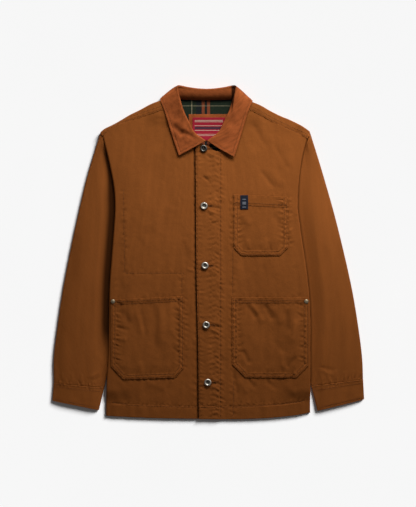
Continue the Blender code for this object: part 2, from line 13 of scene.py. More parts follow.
import bpy
import numpy as np
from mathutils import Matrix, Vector

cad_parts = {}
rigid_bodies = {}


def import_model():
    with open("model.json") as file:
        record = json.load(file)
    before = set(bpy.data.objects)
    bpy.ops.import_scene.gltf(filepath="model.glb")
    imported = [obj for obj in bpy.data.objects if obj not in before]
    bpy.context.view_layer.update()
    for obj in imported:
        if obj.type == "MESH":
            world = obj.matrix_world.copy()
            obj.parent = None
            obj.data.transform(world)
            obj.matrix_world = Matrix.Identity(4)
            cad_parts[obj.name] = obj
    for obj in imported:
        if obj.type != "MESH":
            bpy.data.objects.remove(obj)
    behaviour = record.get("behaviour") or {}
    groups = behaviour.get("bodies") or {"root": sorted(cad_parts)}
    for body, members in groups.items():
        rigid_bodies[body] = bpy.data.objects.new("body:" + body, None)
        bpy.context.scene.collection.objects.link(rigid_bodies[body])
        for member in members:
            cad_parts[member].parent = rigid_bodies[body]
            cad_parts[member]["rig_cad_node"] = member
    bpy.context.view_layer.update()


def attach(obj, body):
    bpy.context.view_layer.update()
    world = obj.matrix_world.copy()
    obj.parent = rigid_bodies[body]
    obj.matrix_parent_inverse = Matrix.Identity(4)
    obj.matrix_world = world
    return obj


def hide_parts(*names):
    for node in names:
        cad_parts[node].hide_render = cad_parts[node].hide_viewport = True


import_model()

bl_info = {
    "name": "Chore jacket",
    "version": (1, 0, 0),
    "blender": (4, 5, 0),
    "location": "3D View > Sidebar > Jacket",
    "description": "Cloth, stitching, metal and studio for a chore jacket laid flat",
    "category": "Add Mesh",
}

MM = 0.001
BODY = "root"
WORDS = {-1: "right", 1: "left"}

# Layers, as the solids have them
BODY_DEPTH = 7.0  # underside of the back to the outer face of the fronts
OVER_SLEEVE = 5.7  # the body passes this high over the part of a sleeve that is tucked under it
UNDER_BODY = 5.0  # height of that tucked part
OVER_COLLAR = 3.0  # the yoke passes this high over the collar's fall
PLACKET_RISE = 2.2  # the left front over the right front's button stand
SLEEVE_EDGE = 7.0  # height of a sleeve's outer fold
CUFF_CROWN = 10.5  # height of a cuff at its open end
LIFT_MARGIN = 5.0  # the body is at its full height from this far before a sleeve's inner fold
LIFT_RAMP = 24.0  # and rises to it over this width
LOWEST_SLEEVE = -350.0  # y where the sleeves no longer carry the body's sides
LOWEST_RAMP = 34.0  # they take them up over this length
COLLAR_LIFT_Y = (290.0, 322.0)  # the body rises over the collar's fall between these
COLLAR_LIFT_X = (118.0, 150.0)  # and comes down again between these, on both sides
SIDE_WRAP = 40.0  # how far a front turns round under the body to its side seam
ARMHOLE_WRAP = 2.0  # and how far beside the armhole
WRAP_CHANGE_Y = (95.0, 140.0)  # between these it goes from one to the other
YOKE_SEAM_Y = 235.0  # where the yoke meets the back, underneath
SIDE_SEAM_Y = np.linspace(-345.0, YOKE_SEAM_Y, 18)  # rows of the solids along the side
BUTTON_STAND_X = 18.6  # centre edge of the right front
STAND_RAMP = 22.0  # the left front comes down past it over this width
VALLEY = 34.0  # a sleeve sinks beside the body over this width
COLLAR_CENTRE_X = -3.7  # the collar's middle
ROLL_RADIUS = 2.6  # of the collar's roll, to the middle of its cloth
SEAM_GAP = 0.4  # between pieces that meet at a seam underneath
TOP_RAMP = 90.0  # here alone: the upper layer rises over the sleeves more gently than the lower one

# The outlines are those of the solids or within a few millimetres of them.
# Half widths at each y, for the wearer's right and left: the body's side fold, and the inner fold of the
# sleeve that lies under it.
SIDES = np.array([
    # y,   edge_r, sleeve_r, edge_l, sleeve_l
    (-388, 237.5, 252.0, 237.5, 252.0),
    (-340, 237.0, 243.0, 237.7, 243.0),
    (-297, 235.5, 234.5, 238.0, 234.0),
    (-232, 231.5, 221.0, 238.0, 219.5),
    (-153, 230.0, 205.0, 238.0, 202.0),
    (-76, 228.5, 191.0, 233.0, 185.0),
    (-6, 223.5, 179.5, 224.0, 170.0),
    (57, 218.5, 169.0, 214.5, 157.0),
    (108, 216.0, 170.0, 208.5, 157.0),
    (146, 218.0, 184.0, 210.0, 171.0),
    (192, 226.0, 205.0, 214.5, 192.0),
    (239, 236.5, 226.0, 223.0, 213.0),
    (278, 247.0, 243.0, 234.4, 231.0),
])
HEM = {
    -1: [(BUTTON_STAND_X, -387), (-60, -386.5), (-181, -383), (-234, -380)],
    1: [(-21.4, -387), (75, -387.5), (168, -382.5), (214, -376.8), (235, -372.5)],
}
NECKLINE = {
    -1: [(BUTTON_STAND_X, 220), (4, 225), (-12, 236), (-30, 256), (-49, 281), (-65, 308), (-77, 331),
         (-83, 340)],
    1: [(-29, 249), (-12, 252), (1, 247), (11, 239), (22, 236), (32, 241), (44, 276), (58, 308), (70, 331),
        (75.5, 340)],
}
SHOULDER_SEAM = {
    -1: [(-83, 340), (-112, 330.5), (-149, 318), (-186, 305.5), (-226, 289), (-245.2, 271.5)],
    1: [(75.5, 340), (101, 330.5), (146, 307), (179, 290), (215, 274), (231.6, 265.8)],
}
CENTRE_EDGE = {
    -1: [(BUTTON_STAND_X, -387), (BUTTON_STAND_X, 220)],
    1: [(-21.4, -387), (-23, -215), (-26, -87), (-28, 122), (-29, 249)],
}
SHOULDER_FOLD = {
    -1: [(-249.2, 280.3), (-241.5, 286.6), (-228, 293.8), (-205, 306.5), (-182, 320.2), (-158, 332),
         (-135, 344.4), (-116, 351.6), (-100, 355), (-83, 357.2)],
    1: [(236.4, 281.4), (221, 292.5), (191, 308.5), (168, 318), (145, 329.5), (121, 342.8), (102.5, 350.2),
        (88.5, 354.5), (75.5, 357.2)],
}
BACK_NECKLINE = [(-83, 357), (-60, 355.5), (-4, 354.8), (52, 355.5), (75.5, 357)]
# The hems of the fronts and of the back, as x and y
HEM_LINE = ([-240, -60, 75, 168, 214, 240], [-380, -386.5, -387.5, -382.5, -376.8, -372])
BACK_HEM = ([-240, -150, 60, 240], [-377, -382, -383, -370])

# Sleeves and cuffs: the outer fold, the inner fold and the crown's height, from the top down.
SLEEVES = {
    -1: [
        # out, out_y, in, in_y, crown
        (249.4, 281.2, 165.5, 113.0, 10.5),
        (266.8, 224.8, 167.8, 71.0, 10.5),
        (282.4, 171.3, 171.3, 38.4, 12.0),
        (300.6, 94.4, 179.4, -8.2, 13.5),
        (319.7, 5.8, 188.7, -64.0, 14.0),
        (337.9, -89.7, 201.6, -131.6, 14.0),
        (351.1, -178.2, 216.7, -203.9, 13.5),
        (358.8, -245.0, 231.8, -269.1, 12.5),
        (358.8, -303.0, 241.0, -313.5, 11.0),
    ],
    1: [
        (237.0, 280.4, 152.5, 113.0, 10.5),
        (255.4, 222.5, 154.0, 71.0, 10.5),
        (271.4, 168.9, 158.0, 38.4, 12.0),
        (292.6, 94.4, 169.0, -8.2, 13.5),
        (314.8, 5.8, 181.5, -64.0, 14.0),
        (335.9, -89.7, 198.5, -131.6, 14.0),
        (350.5, -178.2, 216.0, -203.9, 13.5),
        (358.7, -245.0, 232.0, -265.0, 12.5),
        (360.8, -293.5, 239.5, -309.5, 11.0),
    ],
}
CUFFS = {
    -1: [(359.0, -303.5, 241.5, -314.2, 11.0), (362.4, -344.6, 253.8, -366.8, CUFF_CROWN)],
    1: [(360.9, -294.0, 240.0, -310.2, 11.0), (363.4, -341.6, 254.4, -368.4, CUFF_CROWN)],
}

# The collar, from the front tip round to the centre back: n is on the neck seam, c is the centre of the
# roll, k the fall's control point and f its edge. drop is the power by which the fall comes down, and the
# last two are angles in degrees.
COLLAR_ROWS = [
    # n_x, n_y, n_z, c_x, c_y, c_z, k_x, k_y, drop, f_x, f_y, f_z, heading, roll
    (25.6, 259.3, 10.8, 4.1, 257.5, 12.4, 32.6, 241.2, 1.2, 64.1, 224.8, 11.2, -29, 0),
    (48.9, 283.1, 8.8, 30.3, 278.0, 12.4, 53.6, 270.3, 1.2, 77.2, 263.3, 11.4, -17, 5),
    (65.2, 309.9, 10.6, 43.6, 302.7, 14.4, 66.4, 300.6, 1.2, 88.4, 299.4, 12.0, -4, 9),
    (77.4, 332.0, 11.6, 55.2, 327.4, 16.8, 76.9, 330.9, 1.2, 98.4, 330.9, 12.8, 8, 14),
    (79.7, 344.8, 11.6, 62.2, 350.7, 19.4, 83.0, 353.5, 1.2, 105.6, 349.0, 11.9, 18, 26),
    (76.4, 353.5, 9.8, 66.6, 370.6, 19.0, 85.4, 374.6, 1.2, 107.0, 357.6, 6.8, 32, 60),
    (67.6, 355.2, 7.8, 65.6, 384.0, 17.6, 80.0, 383.4, 3.0, 99.0, 356.6, 1.6, 62, 115),
    (46.6, 355.2, 7.6, 42.0, 380.0, 17.0, 49.5, 380.8, 4.0, 74.6, 341.4, 1.1, 90, 155),
    (23.3, 354.6, 7.6, 20.0, 377.0, 16.6, 24.0, 376.4, 4.0, 35.0, 329.7, 1.1, 90, 160),
    (0.0, 354.2, 7.6, 0.0, 375.8, 16.4, 0.0, 375.1, 4.0, 0.0, 326.7, 1.1, 90, 160),
]
LEFT_DROP = [3.4, 1.5, 0, 0, 2.2, 5.2, 3.6, 0, 0, 0]  # off k_y and f_y on the wearer's left

# Side and outline: the mouth's two ends, then round the foot
POCKETS = {
    "chest_pocket": (1, [(59.4, 135), (185.2, 129), (185.2, 11.5), (166.6, -7), (78, -7), (59.4, 11.5)]),
    "lower_pocket_left": (
        1,
        [(55.9, -104.4), (233, -104.4), (233, -262), (204.5, -290.6), (87, -290.6), (56.5, -260.5)],
    ),
    "lower_pocket_right": (
        -1,
        [(-224.8, -109.5), (-57.1, -101.4), (-57.1, -268), (-75.3, -291), (-196.5, -295), (-224.8, -264)],
    ),
}
TAB = ((75.0, 100.5), (93.2, 133.2))  # lowest and highest corner
LINING_X = (-88.0, 80.0)
LINING_Y = (222.0, 355.6)
LABEL_PATCH = [(-45, 321.5), (48.7, 321.5), (48.7, 282), (24, 259), (-31, 259), (-45, 282)]
NECK_LABEL = [(-36, 313.8), (39.6, 313.8), (39.6, 288), (8, 261), (-14, 261), (-36, 284)]
LABEL_WEAVE = ((-36, 266), (39.6, 313.8))  # lowest and highest corner of the part with bars
BUTTONS = [(-10, 241.5), (-9.1, 108.4), (-7, -30.3), (-4.2, -168.2), (-0.5, -301.7)]
# Radius and height of turned metal, from its top down
BUTTON_PROFILE = [(0, 1.9), (1.1, 1.8), (1.5, 1.1), (2.6, 0.9), (3.6, 1.2), (4.4, 2.6), (5.2, 3.5),
                  (6.2, 3.8), (7.2, 3.5), (8.0, 2.7), (8.4, 1.7), (8.2, 0.9), (7.2, 0.4), (4.0, 0.1),
                  (0, 0.1)]
RIVETS = {"rivet_right": (-1, -220.5, -113.5), "rivet_left": (1, 228.0, -113.5)}
RIVET_PROFILE = [(0, 1.9), (1.2, 1.8), (1.8, 1.3), (2.6, 1.2), (3.9, 1.2), (4.7, 0.8), (5.0, 0.3),
                 (4.9, -0.3), (0, -0.3)]

# Folds: a soft ridge along a line, or a trough where the height is negative.
BROAD_FOLDS = [
    # x0,  y0,   x1,   y1,  width, height
    (105, 322, 150, 236, 16, 1.0), (152, 260, 187, 190, 16, 0.9), (118, 300, 160, 200, 15, -0.7),
    (-150, 300, -130, 190, 20, 0.3), (-190, 230, -170, 60, 22, -0.3), (-120, 120, -110, -60, 24, 0.3),
    (190, 110, 200, -80, 18, 0.3), (-150, -120, -140, -340, 24, 0.35), (130, -120, 140, -340, 24, 0.3),
    (-90, -60, -60, -330, 20, -0.3), (90, 60, 75, -330, 18, -0.25),
]
CREASES = [
    (100, 308, 140, 238, 7, -1.1), (151, 262, 188, 188, 7, -1.2), (121, 194, 156, 146, 5, -1.2),
    (137, 200, 176, 150, 9, 0.9), (-12.6, 178, 4, 163.5, 2.6, -1.5), (-10, 184, 12, 170, 5, 0.8),
    (6, 160, 34, 148, 5, 0.7), (-52, -37, -28, -44, 4, 0.9), (-126, 311, -100, 310, 3.5, -0.5),
    (-206, 140, -198, 122, 5, 0.9), (-212, 100, -190, 70, 7, 0.7), (-60, 40, -36, -6, 8, 0.7),
    (-64, 70, -50, -30, 10, -0.6), (-100, 110, -72, 96, 6, 0.5), (93, -294, 113, -318, 5, -1.1),
    (132, -296, 163, -320, 5, -1.0), (57, -268, 70, -340, 5, -1.3), (72, -292, 92, -330, 6, 0.8),
    (180, -300, 205, -335, 9, 0.8), (-150, -300, -95, -318, 8, 0.6), (-215, -300, -190, -350, 9, -0.7),
    (206, 60, 150, 20, 7, 0.5), (196, 98, 206, 40, 5, -0.8), (60, -30, 48, -90, 6, -0.7),
    (150, -40, 200, -86, 14, 0.3), (-150, -40, -190, -90, 16, 0.3),
]
# Puckers: a row of short wrinkles that stand across each seam and die out on either side of it.
FRONT_PUCKERS = {
    -1: [
        # x0, y0, x1, y1, reach, pitch, height, lean
        (-197, 145, -193, -48, 9, 14, 0.50, 0.2), (-191, -48, -56, -48, 8, 13, 0.42, 0.1),
        (-60, -50, -60, -100, 8, 12, 0.40, -0.2), (-55, -104, -55, -275, 13, 12, 0.50, 0.7),
        (-225, -351, -22, -357, 9, 11, 0.50, 0.7), (-160, 322, -84, 338, 7, 10, 0.30, 0.3),
        (-226, 292, -160, 316, 7, 10, 0.30, 0.3), (-226, -108, -60, -100, 8, 14, 0.50, 0.3),
        (-196, -297, -76, -293, 9, 14, 0.55, 0.3), (-28, 210, -26, -380, 12, 19, 0.40, 0.3),
        (-211, 120, -219, -90, 8, 16, 0.45, 0.3),
    ],
    1: [
        (26, 240, 26, -384, 15, 11, 0.62, 0.6), (57, 10, 57, -384, 13, 14, 0.38, 0.5),
        (-24, 235, -19, -384, 20, 10, 0.50, 0.1), (8, 225, 10, -384, 13, 12, 0.55, -0.4),
        (188, 132, 188, 10, 11, 12, 0.80, -0.3), (56, 128, 56, 12, 9, 13, 0.70, 0.3),
        (80, -12, 165, -12, 10, 13, 0.35, 0.3), (54, -106, 54, -262, 10, 13, 0.30, 0.6),
        (90, -293, 204, -293, 10, 14, 0.65, 0.4), (-18, -357, 228, -347, 9, 11, 0.55, 0.7),
        (80, 336, 150, 303, 7, 10, 0.30, 0.3), (150, 303, 226, 268, 7, 10, 0.30, 0.3),
        (216, 180, 208, 60, 9, 15, 0.60, 0.3), (60, 137, 186, 131, 8, 12, 0.45, 0.2),
        (58, -102, 232, -102, 8, 16, 0.45, 0.3),
    ],
}
POCKET_PUCKERS = {
    "chest_pocket": [
        (176, 125, 176, 12, 17, 11, 0.75, 0.4), (68, 125, 68, 12, 17, 11, 0.70, -0.4),
        (80, 1, 165, 1, 20, 9, 0.75, 0.1), (70, 106, 180, 101, 9, 11, 0.32, 0.2),
        (64, 12, 82, -4, 10, 8, 0.60, 0.0),
    ],
    "lower_pocket_left": [
        (68, -110, 68, -260, 16, 12, 0.50, -0.4), (222, -110, 222, -260, 19, 12, 0.62, 0.4),
        (90, -283, 203, -283, 12, 11, 0.60, 0.2), (64, -120, 225, -120, 11, 13, 0.38, 0.5),
        (63, -262, 88, -285, 11, 8, 0.65, 0.2), (228, -262, 204, -286, 11, 8, 0.60, 0.2),
    ],
    "lower_pocket_right": [
        (-66, -108, -66, -266, 16, 12, 0.70, 0.6), (-215, -112, -215, -262, 20, 11, 0.62, 0.3),
        (-194, -287, -78, -284, 12, 11, 0.55, 0.2), (-218, -120, -64, -113, 10, 12, 0.42, 0.4),
        (-219, -266, -196, -288, 10, 8, 0.60, 0.2),
    ],
}
CUFF_PUCKERS = {
    -1: [(358, -302, 242, -312, 11, 8.5, 0.75, 0.35)],
    1: [(359, -292, 240, -308, 13, 8.5, 0.85, 0.45)],
}
POCKET_CREASES = {
    "chest_pocket": [
        (78, 92, 100, 60, 8, 0.8), (120, 20, 100, 60, 14, -0.25), (150, 90, 170, 66, 7, -0.6),
        (96, 4, 92, 34, 5, 0.7), (130, 2, 136, 36, 6, 0.6),
    ],
    "lower_pocket_left": [
        (88, -118, 118, -156, 6, -1.2), (98, -116, 132, -166, 7, 1.1), (132, -118, 152, -160, 6, -1.1),
        (150, -120, 176, -170, 9, 1.0), (184, -128, 186, -190, 7, -1.2), (205, -150, 196, -215, 8, 1.1),
        (80, -225, 98, -262, 6, -1.3), (150, -200, 190, -240, 9, -0.5), (170, -225, 175, -275, 7, 0.9),
        (110, -190, 150, -250, 16, 0.4), (205, -240, 180, -270, 6, -1.1),
        (140, -262, 130, -284, 5, 0.7),
    ],
    "lower_pocket_right": [
        (-168, -122, -150, -200, 8, 1.0), (-158, -124, -142, -205, 6, -1.0),
        (-204, -130, -176, -170, 8, -1.0), (-110, -115, -104, -230, 10, 0.9),
        (-122, -120, -118, -240, 8, -0.8), (-88, -112, -86, -200, 7, 0.8),
        (-212, -172, -180, -182, 5, -0.8), (-214, -196, -186, -204, 5, 0.8),
        (-160, -250, -150, -288, 7, 0.7), (-215, -220, -196, -276, 8, 0.8),
    ],
}
# Beside each button, from its centre: the cloth that the buttonhole pulls on.
BUTTON_PULLS = [
    (7, 0.5, 40, -7, 2.2, -1.2), (8, 5, 32, 8, 3.0, 0.8), (6, -7, 30, -19, 2.6, 0.8),
    (4, -13, 24, -27, 2.6, -0.7), (-9, 4, -19, 9, 2.4, 0.6), (-8, -5, -18, -12, 2.4, -0.6),
]
SLEEVE_FOLDS = [
    # half width and y at either end, width, height
    (285, 215, 262, 60, 16, -0.4), (296, 150, 300, -10, 18, 0.5), (262, 60, 300, -60, 15, 0.4),
    (330, -40, 275, -110, 16, -0.5), (318, -130, 262, -190, 15, 0.5), (345, -170, 300, -235, 14, -0.5),
]
# Finer creases on each sleeve, and the gathers that the cuff seam holds.
SLEEVE_CREASES = {
    -1: [
        (262, -278, 270, -306, 3, 0.5), (292, -280, 296, -304, 3, 0.6),
        (316, -276, 314, -302, 3.5, 0.6), (340, -278, 338, -298, 3, 0.5),
        (250, -276, 282, -292, 4, 0.8), (246, -286, 276, -300, 4, -0.8), (244, -262, 262, -230, 6, 0.6),
        (300, 40, 320, -60, 9, -0.3),
    ],
    1: [
        (258, -272, 268, -300, 3.5, 0.7), (276, -276, 282, -302, 3.0, 0.7),
        (296, -270, 298, -298, 3.5, 0.8), (318, -274, 318, -296, 3.5, 0.7),
        (340, -270, 336, -292, 3.5, 0.6), (250, -262, 300, -276, 4, -0.7),
        (252, -270, 296, -286, 3, 0.7), (290, 60, 312, -30, 8, -0.3), (262, 30, 300, -10, 8, 0.3),
    ],
}
COLLAR_CREASES = [
    (-86, 300, -56, 272, 6.0, -2.8), (-66, 281, -30, 268, 5.0, -2.2), (-84, 286, -58, 262, 8.0, 1.2),
    (-62, 292, -40, 280, 7.0, 1.2), (-92, 322, -84, 300, 6, 0.8), (-74, 330, -66, 306, 9, -0.9),
    (40, 300, 64, 270, 12, 1.0), (50, 330, 62, 290, 8, -0.8), (30, 268, 50, 246, 9, -0.8),
]

# Lines of stitching on the fronts
FRONT_STITCHES = {
    -1: [
        [(-222, -348.2), (-181, -355), (-60, -359), (16, -359.5)],
        [(-196, 146), (-193, -46)],
        [(-192, -48), (-56, -48)],
        [(-60.5, -50), (-60.5, -98)],
    ],
    1: [
        [(222, -343.8), (214, -347), (168, -353.5), (75, -359.5), (-16, -359.5)],
        [(-19, -386), (-20.6, -215), (-23.6, -87), (-25.6, 122), (-26.2, 240)],
        [(28.9, -386), (28.9, 232)],
        [(58.5, -384), (59.5, -298)],
        [(57.5, -98), (57.5, 8)],
    ],
}
COLLAR_STITCH = 6.5  # in from the collar's edges
STITCH_SINK = (1.2, -0.45)  # half width and height of the furrow
HEM_BAND = 30.0
YOKE_ROWS = (2.4, 9.5)  # the two rows of stitching, back from the shoulder seam
POCKET_ROWS = (2.2, 8.4)  # the two rows of stitching, in from a pocket's edge
SLEEVE_PAINTED_SHADOW = {-1: (-2.7, 14.0, -270.0), 1: (-1.6, 3.0, -380.0)}  # depth, reach and lowest y of the painted shadow that the body's edge casts on each sleeve
SLEEVE_PAINTED_SHADOW_ENDS = (110.0, 272.0, 50.0)  # run-in at its foot, highest y and run-out below it
HOLE_LENGTH = 20.0  # of a buttonhole, from its button's centre
HOLE_ROUND = 1.7  # radius of its far end
MOUTH_HEM = {"chest_pocket": 24.0, "lower_pocket_left": 12.0, "lower_pocket_right": 11.0}
MOUTH_ROWS = 5.5  # between the two rows of stitching along a mouth
PLACKET_SHADE = (4.6, 2.8)  # reach and depth of the groove under the placket's edge, which front_tone also paints dark as its shadow
CUFF_WALL = 1.8
CUFF_ROWS = (1.2, 4.6, 21.8)  # the rows of stitching, as stations of the cuff
LINING_HEIGHT = 3.1  # of the neck lining over the layer below
LINING_WALL = 0.7
TAB_HEIGHT = 1.1  # of its outer face over the pocket's
TAB_WALL = 0.6
TWIST_WIDTH = 1.3  # of the thread round the buttonholes

# Points along the pieces' grids
FOLD_STEPS = 8  # round the body's side fold
EDGE_STEPS = 3  # round the edge of a cloth's wall
STRAP_COLS = 56  # of the yoke, on each shoulder
NECK_COLS = 40  # of the yoke, behind the neck
SHOULDER_STEPS = 11  # of the yoke, round the shoulder fold
STAND_POINTS = 9  # of the collar, up its stand
ROLL_POINTS = 8  # of the collar, round its roll
SLEEVE_STATIONS = 250
CUFF_STATIONS = 26
LATTICE = 96  # cells of noise, after which it repeats

# Light and camera in metres, but the picture and the floor in millimetres
TOP_LIGHT = (0.28, 0.85, 0.48)
TOP_AIM = (0.07, 0, 0)
CUFF_LIGHT = (-0.20, -0.55, 0.90)
CUFF_STRENGTH = 1.3
SIDE_SUN = (0.87, 0.50, 0.34)
FLOOR_SUN = (0.75, 0.85, 0.75)
FLOOR_STRENGTH = 5.3
CAMERA_HEIGHT = 3.2
PICTURE_HEIGHT = 1181.3  # of what the camera sees of the surface
PICTURE_SHIFT = 2.33  # its middle is this far below the origin
FLOOR_REACH = 9000.0
FLOOR_LEVEL = -0.6  # just below the cloth, which would flicker where the two met


def sizes():
    """The sizes that the panel shows."""
    return bpy.context.scene.jacket_sizes


def colours():
    """The colours that the panel shows."""
    return bpy.context.scene.jacket_colours


# Curves


def smooth(share):
    """Eases from 0 to 1: three times the square of the share less twice its cube."""
    share = np.clip(share, 0.0, 1.0)
    return share * share * (3.0 - 2.0 * share)


def bell(distance, width):
    """Gaussian: 1 at no distance, and e to the power of -1 at one width."""
    return np.exp(-((distance / width) ** 2))


def spline(at, knots, values):
    """Cubic Hermite curve through the rows of a table, with slopes from their neighbours."""
    knots = np.asarray(knots, float)
    values = np.asarray(values, float)
    slopes = np.gradient(values, knots, axis=0)
    at = np.clip(np.asarray(at, float), knots[0], knots[-1])
    i = np.clip(np.searchsorted(knots, at, side="right") - 1, 0, len(knots) - 2)
    step = knots[i + 1] - knots[i]
    t = (at - knots[i]) / step
    if values.ndim > 1:
        t = t[..., None]
        step = step[..., None]
    return (
        (1 + 2 * t) * (1 - t) ** 2 * values[i]
        + t * (1 - t) ** 2 * step * slopes[i]
        + t * t * (3 - 2 * t) * values[i + 1]
        + t * t * (t - 1) * step * slopes[i + 1]
    )


def lengths(points):
    """Running length along a row of points."""
    points = np.asarray(points, float)
    return np.concatenate([[0], np.cumsum(np.linalg.norm(np.diff(points, axis=0), axis=1))])


def along(points, shares):
    """Points at shares of the length of a smooth line through the given points."""
    run = lengths(points)
    return spline(np.asarray(shares) * run[-1], run, points)


def at_lengths(at, run, values):
    """Rows of values between those of a line's points, at given running lengths."""
    return np.column_stack([np.interp(at, run, column) for column in values.T])


def straight(points, shares):
    """Points at shares of the length of a line with straight stretches."""
    run = lengths(points)
    return at_lengths(np.asarray(shares) * run[-1], run, np.asarray(points, float))


def stops(count, *close):
    """Even shares from 0 to 1, with more of them near each (centre, reach, number)."""
    sets = [np.linspace(0, 1, count)]
    sets += [np.linspace(centre - reach, centre + reach, number) for centre, reach, number in close]
    return np.unique(np.clip(np.concatenate(sets), 0, 1).round(5))


def coons(bottom, top, left, right, u, v):
    """Points of a sheet between four edges: a blend of the two pairs less their shared corners."""
    u, v = u[None, :, None], v[:, None, None]
    corners = (1 - u) * (1 - v) * bottom[0] + u * (1 - v) * bottom[-1]
    corners = corners + (1 - u) * v * top[0] + u * v * top[-1]
    return (1 - v) * bottom + v * top + (1 - u) * left[:, None] + u * right[:, None] - corners


# Heights


def side_edge(side, y):
    """Half width of the body's visible fold at y."""
    return spline(y, SIDES[:, 0], SIDES[:, 1 if side < 0 else 3])


def lift(x, y, ramp=LIFT_RAMP):
    """Underside of the body: raised by a smooth ramp over the tucked sleeves and the collar's fall."""
    sleeve = np.where(x < 0, spline(y, SIDES[:, 0], SIDES[:, 2]), spline(y, SIDES[:, 0], SIDES[:, 4]))
    over_sleeve = smooth((np.abs(x) - sleeve + LIFT_MARGIN + ramp) / ramp)
    over_sleeve = over_sleeve * smooth((y - LOWEST_SLEEVE) / LOWEST_RAMP)
    (near_y, far_y), (near_x, far_x) = COLLAR_LIFT_Y, COLLAR_LIFT_X
    over_collar = smooth((y - near_y) / (far_y - near_y)) * smooth((far_x - np.abs(x)) / (far_x - near_x))
    return OVER_SLEEVE * over_sleeve + OVER_COLLAR * over_collar


def creases(x, y, table, begin=0.25, end=0.25):
    """Sum over a table of a Gaussian of the distance from each line, eased in over its first share and
    out over its last."""
    x, y = np.broadcast_arrays(np.asarray(x, float), np.asarray(y, float))
    total = np.zeros(x.shape)
    for x0, y0, x1, y1, width, height in table:
        run_x, run_y = x1 - x0, y1 - y0
        length = math.hypot(run_x, run_y)
        reach = length / 2 + 3 * width
        near = (np.abs(x - (x0 + x1) / 2) < reach) & (np.abs(y - (y0 + y1) / 2) < reach)
        if near.any():
            from_x, from_y = x[near] - x0, y[near] - y0
            t = (from_x * run_x + from_y * run_y) / length**2
            off = (from_x * run_y - from_y * run_x) / length
            total[near] += height * bell(off, width) * smooth(t / begin) * smooth((1 - t) / end)
    return total


def wrinkles(seams, seed):
    """Rows for creases(): troughs and ridges by turns that stand across each seam, on both of its sides,
    at a wandering pitch and with uneven lengths, widths and heights."""
    random = np.random.default_rng(seed)
    made = []
    for x0, y0, x1, y1, reach, pitch, height, lean in seams:
        ahead = np.array([x1 - x0, y1 - y0], float)
        length = np.linalg.norm(ahead)
        ahead /= length
        across = np.array([-ahead[1], ahead[0]])
        count = max(int(2 * length / pitch), 2)
        for half in (-1, 1):
            at = (np.arange(count) + random.uniform(0.1, 0.9, count)) * length / count
            long = reach * random.uniform(0.45, 1.6, count)
            tilt = half * lean + random.normal(0, 0.24, count)
            rise = np.where(np.arange(count) % 2, 0.85, -1.0) * height
            rise = rise * random.uniform(0.4, 1.25, count) ** 1.8
            width = pitch * random.uniform(0.13, 0.25, count)
            first = np.array([x0, y0]) + ahead * at[:, None] + across * half * 0.6
            last = first + across * (half * long)[:, None] + ahead * (tilt * long)[:, None]
            made.append(np.column_stack([first, last, width, rise]))
    return np.concatenate(made)


PUCKERED = [*FRONT_PUCKERS.items(), *POCKET_PUCKERS.items()]
PUCKERED += [(("cuff", side), table) for side, table in CUFF_PUCKERS.items()]
WRINKLES = {key: wrinkles(table, seed) for seed, (key, table) in enumerate(PUCKERED, 60)}


def puckers(x, y, key):
    """The wrinkles of one panel, strongest beside their seam."""
    return sizes().pucker_depth * creases(x, y, WRINKLES[key], 0.1, 1.0)


def unevenness(x, y, across, down, seed):
    """Value noise from -1 to 1: random heights on a lattice of the given spacing, eased between."""
    lattice = np.pad(np.random.default_rng(seed).uniform(-1, 1, (LATTICE, LATTICE)), (0, 1), "wrap")
    u, v = (np.asarray(x, float) / across) % LATTICE, (np.asarray(y, float) / down) % LATTICE
    i, j = u.astype(int), v.astype(int)
    s, t = smooth(u - i), smooth(v - j)
    low = lattice[i, j] * (1 - s) + lattice[i + 1, j] * s
    high = lattice[i, j + 1] * (1 - s) + lattice[i + 1, j + 1] * s
    return low * (1 - t) + high * t


FURROWS = {side: [(*p, *q, *STITCH_SINK) for line in lines for p, q in zip(line[:-1], line[1:])]
           for side, lines in FRONT_STITCHES.items()}


def front_relief(x, y, side):
    """The fine part of a front's height: creases, puckers, furrows of stitching, the buttons' pulls, and on
    the right front a groove under the placket's edge. front_tone paints it all as shade and highlight, and
    the groove as a painted shadow.
    """
    deep = sizes().crease_depth
    relief = deep * creases(x, y, CREASES) + puckers(x, y, side) + creases(x, y, FURROWS[side], 0.01, 0.01)
    if side > 0:
        for number, (button_x, button_y) in enumerate(BUTTONS):
            pull = 0.8 + 0.3 * math.sin(2.3 * number)  # uneven from one button to the next
            relief = relief + pull * deep * creases(x - button_x, y - button_y, BUTTON_PULLS)
    else:
        reach, deepest = PLACKET_SHADE
        relief = relief - deepest * bell(np.maximum(placket_edge(y) - x, 0), reach)
    return relief


def hem_line(x):
    """y of the fronts' hem at x."""
    return np.interp(x, *HEM_LINE)


def front_tone(x, y, side):
    """Painted shade and highlight for a front's finish: its fine part with the long creases at a third, a
    painted shadow just outside the pockets' stitched edges, a painted shade in the sunk seam of the hem and
    a painted highlight on the band below it, and the slits of the buttonholes painted dark as shade."""
    tone = front_relief(x, y, side) - 0.7 * creases(x, y, CREASES) - 0.75 * pocket_shadow_line(x, y, side)
    from_seam = y - hem_line(x) - HEM_BAND
    tone = tone - 0.75 * bell(from_seam - 1.0, 1.8) + 0.25 * smooth(-from_seam / 3)
    if side > 0:
        slits = [(bx + 2, by, bx + HOLE_LENGTH - 1.5, by - 0.3, 1.0, -1.2) for bx, by in BUTTONS[1:]]
        tone = tone + creases(x, y, slits, 0.05, 0.05)
    return tone


